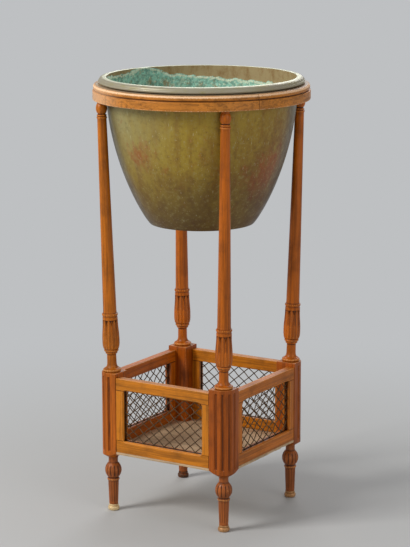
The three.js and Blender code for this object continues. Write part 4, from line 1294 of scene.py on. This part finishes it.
# Where the crust begins: degrees round from +x, and millimetres below the mouth there
CRUST_DEGREES = (60, 90, 122, 140, 150, 157, 164, 175, 190, 205, 212, 240, 300)
CRUST_DEPTHS = (30, 30, 24, 18, 5, 1, 2, 8, 10, 6, 8, 10, 22)


def wall_radius(settings, height):
    """The bowl's outer radius by height. With s the share of the way up from the bottom to the ring's
    top, it is the base radius plus the rest times (1 - (1 - s)^swell)^round."""
    s = np.clip((height - BOWL_LOW.z) / (RING_TOP - BOWL_LOW.z), 0, 1)
    swelling = (1 - (1 - s) ** settings.swell_power) ** settings.round_power
    return settings.base_radius + (settings.radius - settings.base_radius) * swelling


def bowl_outline(settings):
    """The bowl's outline as radius and height, in three parts: up the outside, over the rim and down
    the inside."""
    low, high, rim = BOWL_LOW.z, BOWL_HIGH.z, BOWL_HIGH.x
    lip, seat = high - settings.rim_drop, RING_TOP + SEAT_GAP
    radius, wall = settings.radius, settings.wall
    bead = radius + settings.seat_width - 1.2 * MM
    up = low + (RING_TOP - low) * np.linspace(0, 1, 56) ** 1.7
    floor_radius = np.linspace(0.004, 0.97, 12) * settings.base_radius
    flat = np.full(12, low)
    outside = np.stack(
        [np.concatenate([floor_radius, wall_radius(settings, up)]), np.concatenate([flat, up])], axis=-1
    )
    over = profile(
        (radius, seat),
        [
            ("line", bead, seat),
            ("bead", bead, seat + 2.6 * MM, 1.2 * MM),
            ("line", radius + 1 * MM, seat + 3 * MM),
            ("line", radius + 0.6 * MM, lip - 4.4 * MM),
            ("line", rim - 2.4 * MM, lip - 5 * MM),
            ("bead", rim - 2 * MM, lip + 0.6 * MM, 2 * MM),
            ("round", radius + 3.5 * MM, high - 0.9 * MM),
            ("line", radius + 1.2 * MM, high - 0.5 * MM),
            ("bead", radius - wall, high - 1.2 * MM, 0.9 * MM),
        ],
        1.0 * MM,
    )
    shown = high - np.linspace(1.8, 95, 75) * MM
    down = np.concatenate([shown, np.linspace(high - 99 * MM, low + wall + 0.5 * MM, 40)])
    inner = np.minimum(wall_radius(settings, down - 0.5 * wall), radius) - wall
    inner = np.concatenate([inner, floor_radius[::-1] * 0.97])
    inside = np.stack([inner, np.concatenate([down, flat + wall])], axis=-1)
    return outside, over, inside


def bowl_surface(settings):
    """The bowl as one closed skin: its outline carried round z. Its grain attribute holds shares
    instead of a place: x of the rim, y of the inner wall and z of the crust. The crust begins below
    a ragged line and stands off the wall by noise of two sizes."""
    parts = bowl_outline(settings)
    outline = np.concatenate(parts)
    part = np.repeat((0, 1, 2), [len(part) for part in parts])[:, None]
    is_rim, is_inner = part == 1, part == 2
    around = circle(384)
    spokes = np.stack([np.cos(around), np.sin(around)], axis=-1)
    rows = np.zeros((len(outline), len(around), 3))
    rows[..., :2] = outline[:, None, :1] * spokes
    rows[..., 2] = outline[:, 1:]
    line = np.interp(np.degrees(around), CRUST_DEGREES, CRUST_DEPTHS, period=360) * MM
    ragged = 4 * MM * mottle(rows, 17 * MM, 3) + 3 * MM * mottle(rows, 6 * MM, 4)
    below = BOWL_HIGH.z - rows[..., 2] - line + ragged
    cover = smooth(below, 0, 3 * MM) * is_inner
    lumps = 0.45 + 0.3 * mottle(rows, 13 * MM, 5) + 0.35 * mottle(rows, 5.5 * MM, 6)
    thick = settings.crust * np.clip(lumps, 0.05, 1) * cover
    slope = np.gradient(outline, axis=0)
    steep = (np.abs(slope[:, 1]) / (np.hypot(*slope.T) + 1e-9))[:, None]
    rows[..., :2] -= spokes * (thick * steep)[..., None]
    rows[..., 2] += thick * np.sqrt(1 - np.clip(steep, 0, 1) ** 2)
    shares = np.zeros_like(rows)
    shares[..., 0] = is_rim
    shares[..., 1] = is_inner
    shares[..., 2] = cover * (1 + 2 * smooth(below, 9 * MM, 3 * MM))
    return skin(rows, 0.0, shares)


class JARDINIERE_OT_bowl(bpy.types.Operator):
    """Raise the copper bowl with its rim and the crust inside it"""

    bl_idname = "jardiniere.bowl"
    bl_label = "Bowl"

    def execute(self, context):
        patina = bowl_patina(context.scene.jardiniere_metal)
        surface = bowl_surface(context.scene.jardiniere_bowl)
        piece("bowl", "raised", surface, patina, body="bowl", sharp=50)
        return {"FINISHED"}


# ------------------------------------------------------------------------------------------- stage


def pale_floor(settings):
    """The floor's finish: it keeps the object's shadow, and away from the object it fades into the
    background, which it also shows to glossy rays."""
    recipe = Recipe("floor")
    recipe.tree.nodes.remove(recipe.tree.nodes["Principled BSDF"])
    backdrop = (*settings.backdrop, 1.0)
    paper = recipe.add("ShaderNodeBsdfDiffuse", {"Color": backdrop})
    glow = recipe.add("ShaderNodeEmission", {"Color": backdrop})
    away = {0: recipe.place()}
    away = recipe.add("ShaderNodeVectorMath", away, output="Value", operation="LENGTH")
    rays = recipe.add("ShaderNodeLightPath", {}).node.outputs
    seen = recipe.larger(rays["Is Camera Ray"], rays["Is Glossy Ray"])
    fade = recipe.product(recipe.span(away, 0.35, 1.6), seen)
    return recipe.end(recipe.add("ShaderNodeMixShader", {0: fade, 1: paper, 2: glow}))


def studio_world(settings):
    """Even light from all round, with the background's colour for what looks at it straight or
    through glass."""
    recipe = Recipe(bpy.data.worlds.new("studio"))
    light = recipe.tree.nodes["Background"]
    light.inputs["Color"].default_value = (1.0, 0.98, 0.95, 1.0)
    light.inputs["Strength"].default_value = 0.38
    seen = recipe.add("ShaderNodeBackground", {"Color": (*settings.backdrop, 1.0)})
    rays = recipe.add("ShaderNodeLightPath", {}).node.outputs
    straight = recipe.larger(rays["Is Camera Ray"], rays["Is Transmission Ray"])
    return recipe.end(recipe.add("ShaderNodeMixShader", {0: straight, 1: light.outputs[0], 2: seen}))


def lamp(name, place, power, size, tint):
    """A square soft box that faces the stand's middle."""
    data = bpy.data.lights.new(name, "AREA")
    data.shape = "SQUARE"
    data.size = size
    data.energy = power
    data.color = tint
    box = bpy.data.objects.new(name, data)
    box.location = place
    box.rotation_euler = (Vector((0, 0, 0.5)) - Vector(place)).to_track_quat("-Z", "Y").to_euler()
    bpy.context.scene.collection.objects.link(box)


class JARDINIERE_OT_stage(bpy.types.Operator):
    """Set up the floor, the lamps and the camera"""

    bl_idname = "jardiniere.stage"
    bl_label = "Stage"

    def execute(self, context):
        scene = context.scene
        settings = scene.jardiniere_stage
        reach = 12.0
        mesh = bpy.data.meshes.new("floor")
        corners = [(-reach, -reach, 0), (reach, -reach, 0), (reach, reach, 0), (-reach, reach, 0)]
        mesh.from_pydata(corners, [], [(0, 1, 2, 3)])
        mesh.materials.append(pale_floor(settings))
        ground = bpy.data.objects.new("floor", mesh)
        scene.collection.objects.link(ground)
        scene.world = studio_world(settings)
        scene.view_settings.view_transform = "Standard"
        lamp("key", (-1.9, -3.0, 2.9), power=122, size=1.4, tint=(1.0, 0.97, 0.92))
        lamp("fill", (3.4, -0.9, 1.6), power=22, size=2.2, tint=(1.0, 0.98, 0.95))
        lamp("back", (-1.2, 3.0, 2.6), power=40, size=2.0, tint=(1.0, 1.0, 1.0))

        data = bpy.data.cameras.new("camera")
        data.lens = settings.lens
        camera = bpy.data.objects.new("camera", data)
        turned = Matrix.Rotation(settings.azimuth, 4, "Z")
        tilted = Matrix.Rotation(math.pi / 2 - settings.pitch, 4, "X")
        leaning = Matrix.Rotation(settings.roll, 4, "Z")
        camera.matrix_world = Matrix.Translation(settings.camera_place) @ turned @ tilted @ leaning
        scene.collection.objects.link(camera)
        scene.camera = camera
        return {"FINISHED"}


# ------------------------------------------------------------------------------------------- panel


class JARDINIERE_PT_sidebar(bpy.types.Panel):
    """Lists the makers of the pieces and their settings"""

    bl_idname = "JARDINIERE_PT_sidebar"
    bl_label = "Jardiniere"
    bl_space_type = "VIEW_3D"
    bl_region_type = "UI"
    bl_category = "Jardiniere"

    def draw(self, context):
        for maker in MAKERS:
            self.layout.operator(maker.bl_idname, text=maker.bl_label)
        for name in SETTINGS:
            group = getattr(context.scene, name)
            box = self.layout.box()
            box.label(text=name.replace("_", " ").title())
            for key in group.__annotations__:
                box.prop(group, key)


MAKERS = (
    JARDINIERE_OT_stage,
    JARDINIERE_OT_bowl,
    JARDINIERE_OT_ring,
    JARDINIERE_OT_columns,
    JARDINIERE_OT_posts,
    JARDINIERE_OT_feet,
    JARDINIERE_OT_frames,
    JARDINIERE_OT_grilles,
    JARDINIERE_OT_board,
)


def register():
    """Makes the settings, the makers and the panel known."""
    for name, group in SETTINGS.items():
        bpy.utils.register_class(group)
        setattr(bpy.types.Scene, name, bpy.props.PointerProperty(type=group))
    for maker in (*MAKERS, JARDINIERE_PT_sidebar):
        bpy.utils.register_class(maker)


def unregister():
    """Takes them away again."""
    for maker in (JARDINIERE_PT_sidebar, *reversed(MAKERS)):
        bpy.utils.unregister_class(maker)
    for name, group in reversed(SETTINGS.items()):
        delattr(bpy.types.Scene, name)
        bpy.utils.unregister_class(group)


def main():
    """Makes every piece in turn."""
    register()
    for maker in MAKERS:
        group, name = maker.bl_idname.split(".")
        getattr(getattr(bpy.ops, group), name)()


if __name__ == "__main__":
    main()
